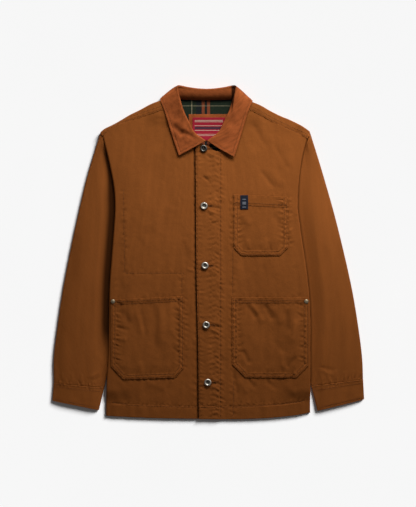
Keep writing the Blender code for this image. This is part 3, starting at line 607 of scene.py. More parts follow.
def sleeve_tone(grid, side):
    """Painted shade for a sleeve's finish: below 0 for a painted shadow of the body's edge beside it, deeper
    and wider on the wearer's right, and the cuff's gathers and fine creases painted as shade in their
    troughs and highlight on their ridges."""
    x, y, z = np.moveaxis(grid, -1, 0)
    deep, reach, lowest = SLEEVE_PAINTED_SHADOW[side]
    rising, highest, fading = SLEEVE_PAINTED_SHADOW_ENDS
    reach = reach * (1 - 0.5 * smooth((y - 120) / 80))  # a thin wedge by the shoulder
    out = np.maximum(side * x - side_edge(side, y) - reach / 2, 0)
    share = smooth((y - lowest) / rising) * smooth((highest - y) / fading) * (z > 3)
    fine = puckers(side * x, y, ("cuff", side)) + 0.5 * creases(side * x, y, SLEEVE_CREASES[side])
    return deep * bell(out, reach) * share + fine * (z > 3)


def placket_edge(y):
    """x of the placket's edge at y."""
    return spline(y, [point[1] for point in CENTRE_EDGE[1]], [point[0] for point in CENTRE_EDGE[1]])


def front_face(x, y, side):
    """Outer face of a front: the body's top, its placket's rise, its folds, puckers and hem band."""
    top = lift(x, y, TOP_RAMP) + BODY_DEPTH
    inside = smooth((np.where(x < 0, side_edge(-1, y), side_edge(1, y)) - np.abs(x) - 6) / 16)
    if side > 0:
        top = top + PLACKET_RISE * smooth((BUTTON_STAND_X + 4 + STAND_RAMP - x) / STAND_RAMP)
    deep = sizes().crease_depth
    folds = creases(x, y, BROAD_FOLDS) + front_relief(x, y, side)
    long = 0.3 * unevenness(x, y, 34, 95, 11 + side) + 0.28 * unevenness(x, y, 12, 120, 3 + side)
    short = 0.3 * unevenness(x, y, 13, 21, 7 + side) + 0.14 * unevenness(x, y, 6, 9, 17 + side)
    folds = folds + deep * long
    folds = folds + deep * short
    band = 0.9 * smooth((hem_line(x) + HEM_BAND - y) / 3.0)
    return top + (folds + band) * inside


def slope_normals(height, x, y):
    """Unit normals of a height field, from its differences over half a millimetre each way."""
    step = 0.5
    dx = (height(x + step, y) - height(x - step, y)) / (2 * step)
    dy = (height(x, y + step) - height(x, y - step)) / (2 * step)
    normal = np.stack([-dx, -dy, np.ones_like(dx)], -1)
    return normal / np.linalg.norm(normal, axis=-1, keepdims=True)


# Meshes


def new_mesh(name, points, faces, finish, uv=None, marks=None):
    """A named object at the origin from points in millimetres; uv is one pair for each face corner, and
    marks holds one value for each point under the name of its attribute."""
    old = bpy.data.objects.get(name)
    if old is not None and "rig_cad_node" not in old:
        bpy.data.objects.remove(old, do_unlink=True)
    mesh = bpy.data.meshes.new(name)
    mesh.from_pydata((np.asarray(points) * MM).tolist(), [], faces)
    mesh.polygons.foreach_set("use_smooth", [True] * len(mesh.polygons))
    if uv is not None:
        layer = mesh.uv_layers.new(name="cloth")
        layer.data.foreach_set("uv", (np.asarray(uv) * MM).ravel())
    for key, values in (marks or {}).items():
        mesh.attributes.new(key, "FLOAT", "POINT").data.foreach_set("value", np.asarray(values, np.float32))
    mesh.materials.append(finish)
    mesh.update()
    thing = bpy.data.objects.new(name, mesh)
    bpy.context.scene.collection.objects.link(thing)
    return thing


def grid_quads(rows, cols, closed):
    """Corners of each cell as indices into the points and, unwrapped, into the map."""
    flat_cols = cols + 1 if closed else cols
    map_index = np.arange(rows * flat_cols).reshape(rows, flat_cols)
    index = np.arange(rows * cols).reshape(rows, cols)
    if closed:
        index = np.hstack([index, index[:, :1]])
    cells = [(slice(None, -1), slice(None, -1)), (slice(None, -1), slice(1, None))]
    cells += [(slice(1, None), slice(1, None)), (slice(1, None), slice(None, -1))]
    quads = np.stack([index[c] for c in cells], -1)
    map_quads = np.stack([map_index[c] for c in cells], -1)
    return quads, map_quads


def surface_map(grid, closed):
    """Running length across and along the cloth at each point, in millimetres."""
    wide = np.concatenate([grid, grid[:, :1]], 1) if closed else grid
    across = np.cumsum(np.linalg.norm(np.diff(wide, axis=1, prepend=wide[:, :1]), axis=2), 1)
    down = np.cumsum(np.linalg.norm(np.diff(wide, axis=0, prepend=wide[:1]), axis=2), 0)
    return np.stack([across, down], -1).reshape(-1, 2)


def face_normals(points, quads):
    """Unit normals at points: the sum of the crossed diagonals of the cells around each."""
    crossed = np.cross(points[quads[:, 2]] - points[quads[:, 0]], points[quads[:, 3]] - points[quads[:, 1]])
    normal = np.zeros_like(points)
    for corner in range(4):
        np.add.at(normal, quads[:, corner], crossed)
    return normal / np.maximum(np.linalg.norm(normal, axis=1, keepdims=True), 1e-12)


def grid_normals(grid, flip):
    """Unit normals at the points of a grid, on its other side with flip."""
    quads = grid_quads(*grid.shape[:2], False)[0].reshape(-1, 4)
    return face_normals(grid.reshape(-1, 3), quads[:, ::-1] if flip else quads).reshape(grid.shape)


def shell(name, grid, wall, finish, closed=False, flip=False, keep=None, relief=None):
    """A wall of cloth: the outer face, an inner face moved back along the normals by the wall, and a
    half round along every free edge. The edge is drawn in by its radius, so the piece keeps its size.
    Its last argument gives the height of the fine folds with painted shadows added, which the finish paints
    as shade in hollows and as highlight on ridges."""
    rows, cols = grid.shape[:2]
    points = grid.reshape(-1, 3).astype(float)
    quads, map_quads = grid_quads(rows, cols, closed)
    chosen = np.ones(quads.shape[:2], bool) if keep is None else keep
    quads, map_quads = quads[chosen], map_quads[chosen]
    uv = surface_map(grid, closed)
    if flip:
        quads, map_quads = quads[:, ::-1], map_quads[:, ::-1]
    normal = face_normals(points, quads)
    wall = np.broadcast_to(np.asarray(wall, float), (rows, cols)).reshape(-1)

    # Free edges are those that no other cell has the other way round
    start, end = quads.reshape(-1), np.roll(quads, -1, 1).reshape(-1)
    map_start, map_end = map_quads.reshape(-1), np.roll(map_quads, -1, 1).reshape(-1)
    size = len(points)
    free = ~np.isin(start * size + end, end * size + start)
    start, end, map_start, map_end = start[free], end[free], map_start[free], map_end[free]
    # At their points, the way out of the cloth in its own plane
    outward = np.zeros_like(points)
    push = np.cross(points[end] - points[start], normal[start] + normal[end])
    push /= np.maximum(np.linalg.norm(push, axis=1, keepdims=True), 1e-12)
    np.add.at(outward, start, push)
    np.add.at(outward, end, push)
    edge = np.unique(np.concatenate([start, end]))
    outward[edge] /= np.maximum(np.linalg.norm(outward[edge], axis=1, keepdims=True), 1e-12)

    # The outer face, the inner face, and the steps of the half round between them
    radius = wall / 2
    points[edge] -= outward[edge] * radius[edge, None]
    inner = points - normal * wall[:, None]
    layers = [points, inner]
    slot_of = np.full(size, -1)
    slot_of[edge] = np.arange(len(edge))
    middle = points[edge] - normal[edge] * radius[edge, None]
    for turn in np.linspace(0, math.pi, EDGE_STEPS + 2)[1:-1]:
        bulge = normal[edge] * math.cos(turn) + outward[edge] * math.sin(turn)
        layers.append(middle + bulge * radius[edge, None])
    # Both ends of each free edge on every step, from the outer face to the inner one
    levels, far_levels = [start], [end]
    for step in range(EDGE_STEPS):
        first = 2 * size + step * len(edge)
        levels.append(first + slot_of[start])
        far_levels.append(first + slot_of[end])
    levels.append(size + start)
    far_levels.append(size + end)
    faces = [quads, size + quads[:, ::-1]]
    corner_uv = [uv[map_quads], uv[map_quads[:, ::-1]]]
    for step in range(EDGE_STEPS + 1):
        faces.append(np.stack([far_levels[step], levels[step], levels[step + 1], far_levels[step + 1]], -1))
        corner_uv.append(uv[np.stack([map_end, map_start, map_start, map_end], -1)])
    points = np.concatenate(layers)
    faces, corner_uv = np.concatenate(faces), np.concatenate(corner_uv)
    wear = np.zeros(len(points))
    wear[edge] = 1.0
    wear[2 * size :] = 1.0
    # Per point: the fine folds' height and the painted shadows, for the finish's painted shade and highlight
    painted_shade = np.zeros(len(points))
    if relief is not None:
        painted_shade[:size] = relief.reshape(-1)
    # Points of cells that are left out go
    used = np.unique(faces)
    renumber = np.full(len(points), -1)
    renumber[used] = np.arange(len(used))
    marks = {"wear": wear[used], "relief": painted_shade[used]}
    return new_mesh(name, points[used], renumber[faces].tolist(), finish, corner_uv.reshape(-1, 2), marks)


def sew(name, runs, finish, thickness=None):
    """Lock stitches along runs of (points, normals): each stitch is a bowed bead of thread, three rings
    and two ends, whose ends dip into the cloth. All of a piece's stitches are one mesh."""
    pitch = sizes().stitch_length / MM
    radius = (thickness if thickness is not None else sizes().thread_width / MM) / 2
    centres, directions, ups = [], [], []
    for points, normals in runs:
        run = lengths(points)
        count = max(int(run[-1] // pitch), 1)
        at = (np.arange(count) + 0.5) * run[-1] / count
        centres.append(at_lengths(at, run, points))
        behind, ahead = (at_lengths(at + share * pitch, run, points) for share in (-0.4, 0.4))
        directions.append(ahead - behind)
        ups.append(at_lengths(at, run, normals))
    centre, along_it, up = (np.concatenate(part) for part in (centres, directions, ups))
    along_it /= np.linalg.norm(along_it, axis=1, keepdims=True)
    across = np.cross(up, along_it)
    across /= np.linalg.norm(across, axis=1, keepdims=True)
    up = np.cross(along_it, across)
    # The three rings: how far from the middle in half stitches, how high and how thick
    sides = 5
    place = np.array([-0.62, 0.0, 0.62])
    bow = np.array([0.15, 0.75, 0.15]) * radius
    thick = np.array([0.85, 1.0, 0.85]) * radius
    turn = np.arange(sides) * 2 * math.pi / sides
    half = 0.42 * pitch
    rings = (
        centre[:, None, None]
        + along_it[:, None, None] * (place * half)[None, :, None, None]
        + up[:, None, None] * (bow[:, None] + thick[:, None] * np.sin(turn))[None, :, :, None]
        + across[:, None, None] * (thick[:, None] * np.cos(turn))[None, :, :, None]
    )
    tips = centre[:, None] + along_it[:, None] * np.array([-half, half])[None, :, None]
    tips = tips - up[:, None] * radius * 0.5
    each = 3 * sides + 2
    points = np.concatenate([rings.reshape(len(centre), -1, 3), tips], 1).reshape(-1, 3)
    nxt = (np.arange(sides) + 1) % sides
    now = np.arange(sides)
    ring = np.array([0, sides])[:, None]
    walls = np.stack([ring + now, ring + nxt, ring + sides + nxt, ring + sides + now], -1).reshape(-1, 4)
    first_end = np.stack([nxt, now, np.full(sides, 3 * sides)], -1)
    last_end = np.stack([2 * sides + now, 2 * sides + nxt, np.full(sides, 3 * sides + 1)], -1)
    start = (np.arange(len(centre)) * each)[:, None, None]
    faces = (walls[:, ::-1] + start).reshape(-1, 4).tolist()
    faces += (np.concatenate([first_end, last_end])[:, ::-1] + start).reshape(-1, 3).tolist()
    return new_mesh(name, points, faces, finish)


def run_on(height, corners, raised=0.25, step=1.5):
    """A run of stitching over a height field, straight between the corners of its plan."""
    total = lengths(corners)[-1]
    plan = straight(corners, np.linspace(0, 1, max(int(total / step), 2)))
    x, y = plan[:, 0], plan[:, 1]
    normal = slope_normals(height, x, y)
    return np.column_stack([x, y, height(x, y)]) + normal * raised, normal


def run_in(grid, rows, cols, flip=False, raised=0.25):
    """A run of stitching over a grid, at fractional rows and columns."""
    normal = grid_normals(grid, flip)
    rows, cols = np.broadcast_arrays(np.asarray(rows, float), np.asarray(cols, float))
    i = np.clip(rows.astype(int), 0, grid.shape[0] - 2)
    j = np.clip(cols.astype(int), 0, grid.shape[1] - 2)
    s, t = (rows - i)[:, None], (cols - j)[:, None]

    def between(values):
        """Values of the four nearest points, weighted by how near they are."""
        low = values[i, j] * (1 - t) + values[i, j + 1] * t
        high = values[i + 1, j] * (1 - t) + values[i + 1, j + 1] * t
        return low * (1 - s) + high * s

    up = between(normal)
    up /= np.linalg.norm(up, axis=1, keepdims=True)
    return between(grid) + up * raised, up


def turned(name, profile, spot, finish, steps=48):
    """A round piece: a profile of (radius, height) from its top to its foot, turned about Z at a spot."""
    profile = np.asarray(profile, float)
    turn = np.arange(steps) * 2 * math.pi / steps
    ring = np.stack([np.cos(turn), np.sin(turn)], -1)
    body = profile[1:-1]
    one = np.dstack([
        body[:, :1] * ring[None, :, 0],
        body[:, :1] * ring[None, :, 1],
        np.repeat(body[:, 1:], steps, 1),
    ]).reshape(-1, 3)
    one = np.vstack([one, [0, 0, profile[0, 1]], [0, 0, profile[-1, 1]]])
    now, nxt = np.arange(steps), (np.arange(steps) + 1) % steps
    first, last = np.arange(len(body) - 1)[:, None] * steps, (len(body) - 1) * steps
    top, foot = np.full((2, steps), len(body) * steps) + [[0], [1]]
    walls = np.stack([first + now, first + steps + now, first + steps + nxt, first + nxt], -1)
    faces = walls.reshape(-1, 4).tolist() + np.stack([top, now, nxt], -1).tolist()
    faces += np.stack([foot, last + nxt, last + now], -1).tolist()
    return new_mesh(name, one + np.asarray(spot), faces, finish)


def settle(piece, slot, nodes=(), cut=None, with_pieces=()):
    """Joins a piece to the jacket's frame, hides the solids that it stands for, and joins what is sewn on
    it."""
    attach(piece, BODY)
    if nodes:
        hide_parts(*nodes)
    for sewn in with_pieces:
        settle(sewn, slot)


# Materials


def linear(hex_colour):
    """An sRGB hex colour as linear red, green, blue and alpha."""
    values = [int(hex_colour[i : i + 2], 16) / 255 for i in (1, 3, 5)]
    return (*[v / 12.92 if v <= 0.04045 else ((v + 0.055) / 1.055) ** 2.4 for v in values], 1.0)


def shade(colour, share):
    """A linear colour made lighter or darker."""
    return (*[min(c * share, 1.0) for c in colour[:3]], 1.0)


def node(tree, kind, inputs=(), out=0, **settings):
    """Adds a node with its settings and returns one of its outputs. inputs gives its sockets, in their order
    or by name or number, a value or the output of another node."""
    made = tree.nodes.new("ShaderNode" + kind)
    for key, value in settings.items():
        setattr(made, key, value)
    for key, value in inputs.items() if isinstance(inputs, dict) else enumerate(inputs):
        if isinstance(value, bpy.types.NodeSocket):
            tree.links.new(value, made.inputs[key])
        else:
            made.inputs[key].default_value = value
    return made.outputs[out]


def start_material(name, **principled):
    """The material of this name, and its tree and shader where it is new and still to be filled."""
    made = bpy.data.materials.get(name)
    if made is not None:
        return made, None, None
    made = bpy.data.materials.new(name)
    made.use_nodes = True
    shader = made.node_tree.nodes["Principled BSDF"]
    for key, value in principled.items():
        shader.inputs[key.replace("_", " ")].default_value = value
    return made, made.node_tree, shader


def layered(tree, tone, *layers):
    """Lays colours over a first one. A layer is a pattern, the two values of it between which its strength
    goes from least to most, these two strengths, and its colour."""
    for pattern, low, high, least, most, paint in layers:
        strength = node(tree, "MapRange", (pattern, low, high, least, most))
        tone = node(tree, "Mix", {0: strength, 6: tone, 7: paint}, 2, data_type="RGBA")
    return tone


def surface(tree, shader, **sources):
    """Links a finished pattern to each named socket of the shader."""
    for key, source in sources.items():
        tree.links.new(source, shader.inputs[key.replace("_", " ")])


def weave(tree, pitch, kind):
    """The cloth's own map and, on it, the height of a weave: twill is a diagonal wave with threads across
    it, plain is two waves multiplied. pitch is the spacing of the threads in metres."""
    place = node(tree, "UVMap", uv_map="cloth")
    x, y = (node(tree, "SeparateXYZ", (place,), axis) for axis in "XY")

    def wave(coordinate, period):
        """Sine of a coordinate, with its period in metres."""
        turns = node(tree, "Math", (coordinate, 2 * math.pi / period), operation="MULTIPLY")
        return node(tree, "Math", (turns,), operation="SINE")

    if kind == "plain":
        return place, node(tree, "Math", (wave(x, pitch), wave(y, pitch)), operation="MULTIPLY")
    diagonal = wave(node(tree, "Math", (x, y), operation="ADD"), 2 * pitch)
    return place, node(tree, "Math", (wave(x, pitch), 0.35, diagonal), operation="MULTIPLY_ADD")


def cloth_marks(tree):
    """How rubbed the cloth is at each point, and the height of its fine folds with painted shadows added,
    which the finish paints as shade and highlight, as shell() stores them.
    """
    return [node(tree, "Attribute", out="Fac", attribute_name=key) for key in ("wear", "relief")]


def canvas():
    """Cotton canvas, piece-dyed and garment-washed: matt, with a twill line, faint streaks along the warp
    and a slightly paler colour where edges have rubbed. Hollows get a painted shade, near black in the
    painted shadows, and ridges a painted highlight."""
    made, tree, shader = start_material("washed_cotton_canvas", Roughness=0.86, Specular_IOR_Level=0.03)
    if tree is None:
        return made
    base = tuple(colours().canvas)
    place, threads = weave(tree, 0.0009, "twill")  # threads of 0.5 mm, drawn at 0.9 mm so that they show
    # A noise's scale is its waves to the metre: streaks 14 mm wide and clouds of 70 mm from the wash, flecks
    # of 2.4 mm from uneven yarn, drawn large enough to show, and a crumple of 10 mm.
    stretched = node(tree, "Mapping", {"Vector": place, "Scale": (70, 9, 1)}, vector_type="POINT")
    streaks = node(tree, "TexNoise", {"Vector": stretched, "Scale": 1.0, "Detail": 3.0})
    clouds = node(tree, "TexNoise", {"Vector": place, "Scale": 14.0, "Detail": 4.0, "Roughness": 0.6})
    flecks = node(tree, "TexNoise", {"Vector": place, "Scale": 420.0, "Detail": 2.0})
    crumple = node(tree, "TexNoise", {"Vector": place, "Scale": 95.0, "Detail": 3.0, "Roughness": 0.55})
    wear, relief = cloth_marks(tree)
    patchy = node(tree, "MapRange", (flecks, 0.35, 0.65, 0.1, 0.55))
    rubbed = node(tree, "Math", (wear, patchy), operation="MULTIPLY")
    tone = layered(
        tree,
        shade(base, 0.9),
        (streaks, 0.32, 0.7, 0.0, 1.0, shade(base, 1.09)),
        (clouds, 0.3, 0.72, 0.0, 0.5, shade(base, 0.82)),
        (flecks, 0.35, 0.7, 0.0, 0.35, shade(base, 1.3)),
        (rubbed, 0.0, 1.0, 0.0, 1.0, shade(base, 1.5)),
        # Painted shade in the hollows, near black in the deepest painted shadows, and a painted highlight on
        # the ridges
        (relief, -0.15, -1.3, 0.0, 0.5, shade(base, 0.32)),
        (relief, -1.2, -2.4, 0.0, 0.85, shade(base, 0.08)),
        (relief, 0.2, 1.3, 0.0, 0.5, shade(base, 1.5)),
    )
    slack = node(tree, "Bump", {"Height": crumple, "Strength": 0.35, "Distance": 0.0012})
    fine = node(tree, "Bump", {"Height": threads, "Normal": slack, "Strength": 0.25, "Distance": 0.00005})
    surface(tree, shader, Base_Color=tone, Normal=fine)
    return made


def collar_cloth():
    """Brushed cotton, a short nap raised with wire rollers: very matt, with patches where the nap lies the
    other way."""
    made, tree, shader = start_material("brushed_cotton_nap", Roughness=0.9, Specular_IOR_Level=0.04)
    if tree is None:
        return made
    base = tuple(colours().collar)
    place, threads = weave(tree, 0.0012, "plain")  # threads of 0.6 mm, drawn at 1.2 mm so that they show
    # Patches of nap 13 mm across, and tufts of fibre drawn at 1.4 mm so that they show
    nap = node(tree, "TexNoise", {"Vector": place, "Scale": 75.0, "Detail": 5.0, "Roughness": 0.7})
    fuzz = node(tree, "TexNoise", {"Vector": place, "Scale": 700.0, "Detail": 2.0})
    wear, relief = cloth_marks(tree)
    tone = layered(
        tree,
        shade(base, 0.68),
        (nap, 0.36, 0.64, 0.0, 1.0, shade(base, 1.2)),
        (fuzz, 0.35, 0.7, 0.0, 0.4, shade(base, 1.3)),
        (wear, 0.0, 1.0, 0.0, 0.15, shade(base, 1.3)),
        # Painted shade in the hollows, near black in the deepest painted shadows, and a painted highlight on
        # the ridges
        (relief, -0.05, -1.0, 0.0, 0.7, shade(base, 0.4)),
        (relief, -1.2, -2.4, 0.0, 0.9, shade(base, 0.06)),
        (relief, 0.1, 1.0, 0.0, 0.16, shade(base, 1.4)),
    )
    soft = node(tree, "Bump", {"Height": nap, "Strength": 0.3, "Distance": 0.001})
    fine = node(tree, "Bump", {"Height": threads, "Normal": soft, "Strength": 0.25, "Distance": 0.0001})
    surface(tree, shader, Base_Color=tone, Normal=fine)
    return made


# The checked lining over one repeat: each yarn's colour and strength, and the centres and half widths of its
# bands in millimetres.
CHECK_REPEAT = 96.0
CHECK_START = (0.0961, -0.2826, 0.0)  # how far the pattern is moved, in metres
CHECK_BANDS = {
    "#0d1018": (0.8, [(76.0, 7.5), (93.5, 3.4)]),  # navy
    "#7a3a20": (0.85, [(84.9, 3.4), (97.4, 3.4), (1.4, 3.4)]),  # rust
    "#8f8468": (0.75, [(58.4, 0.8)]),  # cream
}


def bands(tree, coordinate, centres):
    """1 inside any of the bands of a repeating check, and 0 outside, with an edge half a millimetre wide."""
    place = node(tree, "Math", (coordinate, MM), operation="DIVIDE")
    place = node(tree, "Math", (place, CHECK_REPEAT, 0.0), operation="WRAP")
    total = 0.0
    for centre, half in centres:
        offset = node(tree, "Math", (place, centre), operation="SUBTRACT")
        gap = node(tree, "Math", (offset,), operation="ABSOLUTE")
        inside = node(tree, "MapRange", (gap, half + 0.25, half - 0.25, 0.0, 1.0))
        total = node(tree, "Math", (total, inside), operation="MAXIMUM")
    return total


def check_lining():
    """Yarn-dyed cotton flannel: a green ground with navy bands, paired rust bars and fine cream lines. Each
    colour is weaker where only the weft has it, and its fuzz is drawn at 1.7 mm so that it shows."""
    made, tree, shader = start_material("yarn_dyed_check_flannel", Roughness=0.9, Sheen_Weight=0.05,
                                        Specular_IOR_Level=0.1)
    if tree is None:
        return made
    place = node(tree, "TexCoord", out="Object")
    moved = node(tree, "Mapping", {"Vector": place, "Location": CHECK_START}, vector_type="POINT")
    x, y = (node(tree, "SeparateXYZ", (moved,), axis) for axis in "XY")
    tone = linear("#151f14")
    weft_share = 0.6
    for paint, (strength, centres) in CHECK_BANDS.items():
        warp, weft = bands(tree, x, centres), bands(tree, y, centres)
        both = node(tree, "Math", (weft, weft_share, warp), operation="MULTIPLY_ADD")
        most = 1 + weft_share
        tone = layered(tree, tone, (both, 0.0, most, 0.0, most * strength, linear(paint)))
    fuzz = node(tree, "TexNoise", {"Vector": place, "Scale": 600.0, "Detail": 2.0})
    tone = layered(tree, tone, (fuzz, 0.4, 0.7, 0.0, 0.25, linear("#353a2c")))
    fine = node(tree, "Bump", {"Height": fuzz, "Strength": 0.3, "Distance": 0.0004})
    surface(tree, shader, Base_Color=tone, Normal=fine)
    return made


def woven_label(name, ground, accent, rows, box):
    """Damask label tape: a satin ground with bars woven across it in other colours, and a fine horizontal
    rib of 0.8 mm. rows are (centre, half width, colour) from the lower edge of the box in millimetres."""
    made, tree, shader = start_material(name, Roughness=0.7, Sheen_Weight=0.02, Specular_IOR_Level=0.15)
    if tree is None:
        return made
    (left, low), (right, _) = box
    place = node(tree, "TexCoord", out="Object")
    split = [node(tree, "SeparateXYZ", (place,), axis) for axis in "XY"]
    x, y = (node(tree, "Math", (metres, MM), operation="DIVIDE") for metres in split)
    from_left = node(tree, "Math", (x, left), operation="SUBTRACT")
    from_right = node(tree, "Math", (right, x), operation="SUBTRACT")
    from_side = node(tree, "Math", (from_left, from_right), operation="MINIMUM")
    inset = 5.0
    clear = node(tree, "MapRange", (from_side, inset - 0.3, inset + 0.3, 0.0, 1.0))
    tone = ground
    for centre, half, paint in rows:
        offset = node(tree, "Math", (y, low + centre), operation="SUBTRACT")
        gap = node(tree, "Math", (offset,), operation="ABSOLUTE")
        bar = node(tree, "MapRange", (gap, half + 0.2, half - 0.2, 0.0, 1.0))
        bar = node(tree, "Math", (bar, clear), operation="MULTIPLY")
        tone = layered(tree, tone, (bar, 0.0, 1.0, 0.0, 1.0, paint))
    turns = node(tree, "Math", (y, 2 * math.pi / 0.8), operation="MULTIPLY")
    rib = node(tree, "Math", (turns,), operation="SINE")
    tone = layered(tree, tone, (rib, -1.0, 1.0, 0.0, 0.18, accent))
    fine = node(tree, "Bump", {"Height": rib, "Strength": 0.3, "Distance": 0.0001})
    surface(tree, shader, Base_Color=tone, Normal=fine)
    return made


def thread():
    """Core-spun polyester sewing thread: a slight lustre, and a colour uneven from stitch to stitch."""
    made, tree, shader = start_material("core_spun_thread", Roughness=0.7, Specular_IOR_Level=0.2)
    if tree is None:
        return made
    base = tuple(colours().thread)
    place = node(tree, "TexCoord", out="Object")
    uneven = node(tree, "TexNoise", {"Vector": place, "Scale": 300.0, "Detail": 1.0})
    tone = layered(tree, shade(base, 0.8), (uneven, 0.35, 0.65, 0.0, 1.0, shade(base, 1.2)))
    surface(tree, shader, Base_Color=tone)
    return made


def aged_metal(name, pale, dark):
    """Plated brass, tumbled: bright on the high rims, dark and dull in the dish, where the plating was left
    black, with scuffs of about 4 mm."""
    made, tree, shader = start_material(name, Metallic=0.85, Roughness=0.42)
    if tree is None:
        return made
    place = node(tree, "TexCoord", out="Object")
    scuffs = node(tree, "TexNoise", {"Vector": place, "Scale": 260.0, "Detail": 4.0, "Roughness": 0.6})
    high = node(tree, "Attribute", out="Fac", attribute_name="wear")
    high = node(tree, "Math", (high, 0.75), operation="MULTIPLY")
    patchy = node(tree, "MapRange", (scuffs, 0.35, 0.65, 0.0, 1.0))
    bright = node(tree, "Math", (patchy, 0.35, high), operation="MULTIPLY_ADD")
    tone = layered(tree, dark, (bright, 0.0, 1.0, 0.0, 1.0, pale))
    dull = node(tree, "MapRange", (bright, 0.0, 1.0, 0.6, 0.38))
    scratch = node(tree, "Bump", {"Height": scuffs, "Strength": 0.12, "Distance": 0.0003})
    surface(tree, shader, Base_Color=tone, Roughness=dull, Normal=scratch)
    return made


# Pieces


def wrap_width(y):
    """How far a front turns under the body at y."""
    change = smooth((y - WRAP_CHANGE_Y[0]) / (WRAP_CHANGE_Y[1] - WRAP_CHANGE_Y[0]))
    return SIDE_WRAP + (ARMHOLE_WRAP - SIDE_WRAP) * change


def front_grid(side):
    """Outer face of a front: a sheet between hem, neck and shoulder, centre edge and side, then a half
    round over the side fold and the turned side underneath."""
    neck_share = 7 / 13  # of the top edge
    wide, high = 250.0, 640.0  # of a front, to place the closer rows and columns
    # Closer at the centre edge, the placket's stitching, the neck's end and the hem's seam
    u = stops(112, (0.0, 0.03, 9), (50 / wide, 8 / wide, 9), (neck_share, 0.0, 1))
    v = stops(272, (HEM_BAND / high, 4 / high, 7), (0.0, 2 / high, 3))
    neck = along(NECKLINE[side], np.clip(u / neck_share, 0, 1))
    radius = BODY_DEPTH / 2
    seam = along(SHOULDER_SEAM[side], np.clip((u - neck_share) / (1 - neck_share), 0, 1))
    seam[:, 0] = side * np.minimum(side * seam[:, 0], side_edge(side, seam[-1, 1]) - radius)
    seam[:, 1] += 1.0 * smooth((u - 0.965) / 0.03)  # under the yoke's folded edge at the tip
    top = np.where((u < neck_share)[:, None], neck, seam)
    hem = along(HEM[side], u)
    knots = np.array([hem[-1, 1], *SIDE_SEAM_Y, (YOKE_SEAM_Y + top[-1, 1]) / 2, top[-1, 1]])
    side_y = np.interp(v * (len(knots) - 1), np.arange(len(knots)), knots)
    side_line = np.column_stack([side * (side_edge(side, side_y) - radius), side_y])
    side_line[0], side_line[-1] = hem[-1], top[-1]
    centre = along(CENTRE_EDGE[side], v)
    plan = coons(hem, top, centre, side_line, u, v)
    x, y = plan[..., 0], plan[..., 1]
    flat = np.dstack([x, y, front_face(x, y, side)])
    level = np.linspace(0, 1, FOLD_STEPS + 1)[1:]
    turn = math.pi * level
    edge_x, edge_y = x[:, -1:], y[:, -1:]
    wrap_y = np.repeat(edge_y, FOLD_STEPS, 1)
    fold_z = lift(edge_x, edge_y) + radius + radius * np.cos(turn)
    fold = np.dstack([edge_x + side * radius * np.sin(turn), wrap_y, fold_z])
    wrap_x = edge_x - side * wrap_width(edge_y) * level
    wrap = np.dstack([wrap_x, wrap_y, lift(wrap_x, wrap_y)])
    return np.concatenate([flat, fold, wrap], 1)


def front_wall(grid, side):
    """Thickness of a front: one layer, and three in the hem and the placket's edge."""
    hem = smooth((hem_line(grid[..., 0]) + HEM_BAND - grid[..., 1]) / 4.0) * (grid[..., 2] > 4.0)
    placket = smooth((placket_edge(grid[..., 1]) + 9 - grid[..., 0]) / 4) if side > 0 else 0 * hem
    return sizes().canvas_wall / MM + 0.8 * np.maximum(hem, placket)


def back_side(side, y):
    """Half width of the back and yoke at y, just inside the fronts' turned sides."""
    return side_edge(side, y) - BODY_DEPTH / 2 - wrap_width(y) - SEAM_GAP


def back_grid():
    """Underside of the back panel, from the hem to the yoke seam, flat where it rests."""
    rows = np.linspace(SIDE_SEAM_Y[0], YOKE_SEAM_Y - SEAM_GAP, 120)[:, None]
    left, right = -back_side(-1, rows), back_side(1, rows)
    x = left + (right - left) * np.linspace(0, 1, 96)[None, :]
    y = np.repeat(rows, x.shape[1], 1)
    hem_y = np.interp(x[0], *BACK_HEM)
    steps = np.linspace(0, 1, 12)[:-1, None]
    x = np.vstack([np.repeat(x[:1], len(steps), 0), x])
    y = np.vstack([hem_y + (SIDE_SEAM_Y[0] - hem_y) * steps, y])
    return np.dstack([x, y, lift(x, y)])


def shoulder_line(points, shares):
    """Points from the shoulder's tip to the neck."""
    line = along(points, shares)
    return line if abs(line[0, 0]) > abs(line[-1, 0]) else line[::-1]


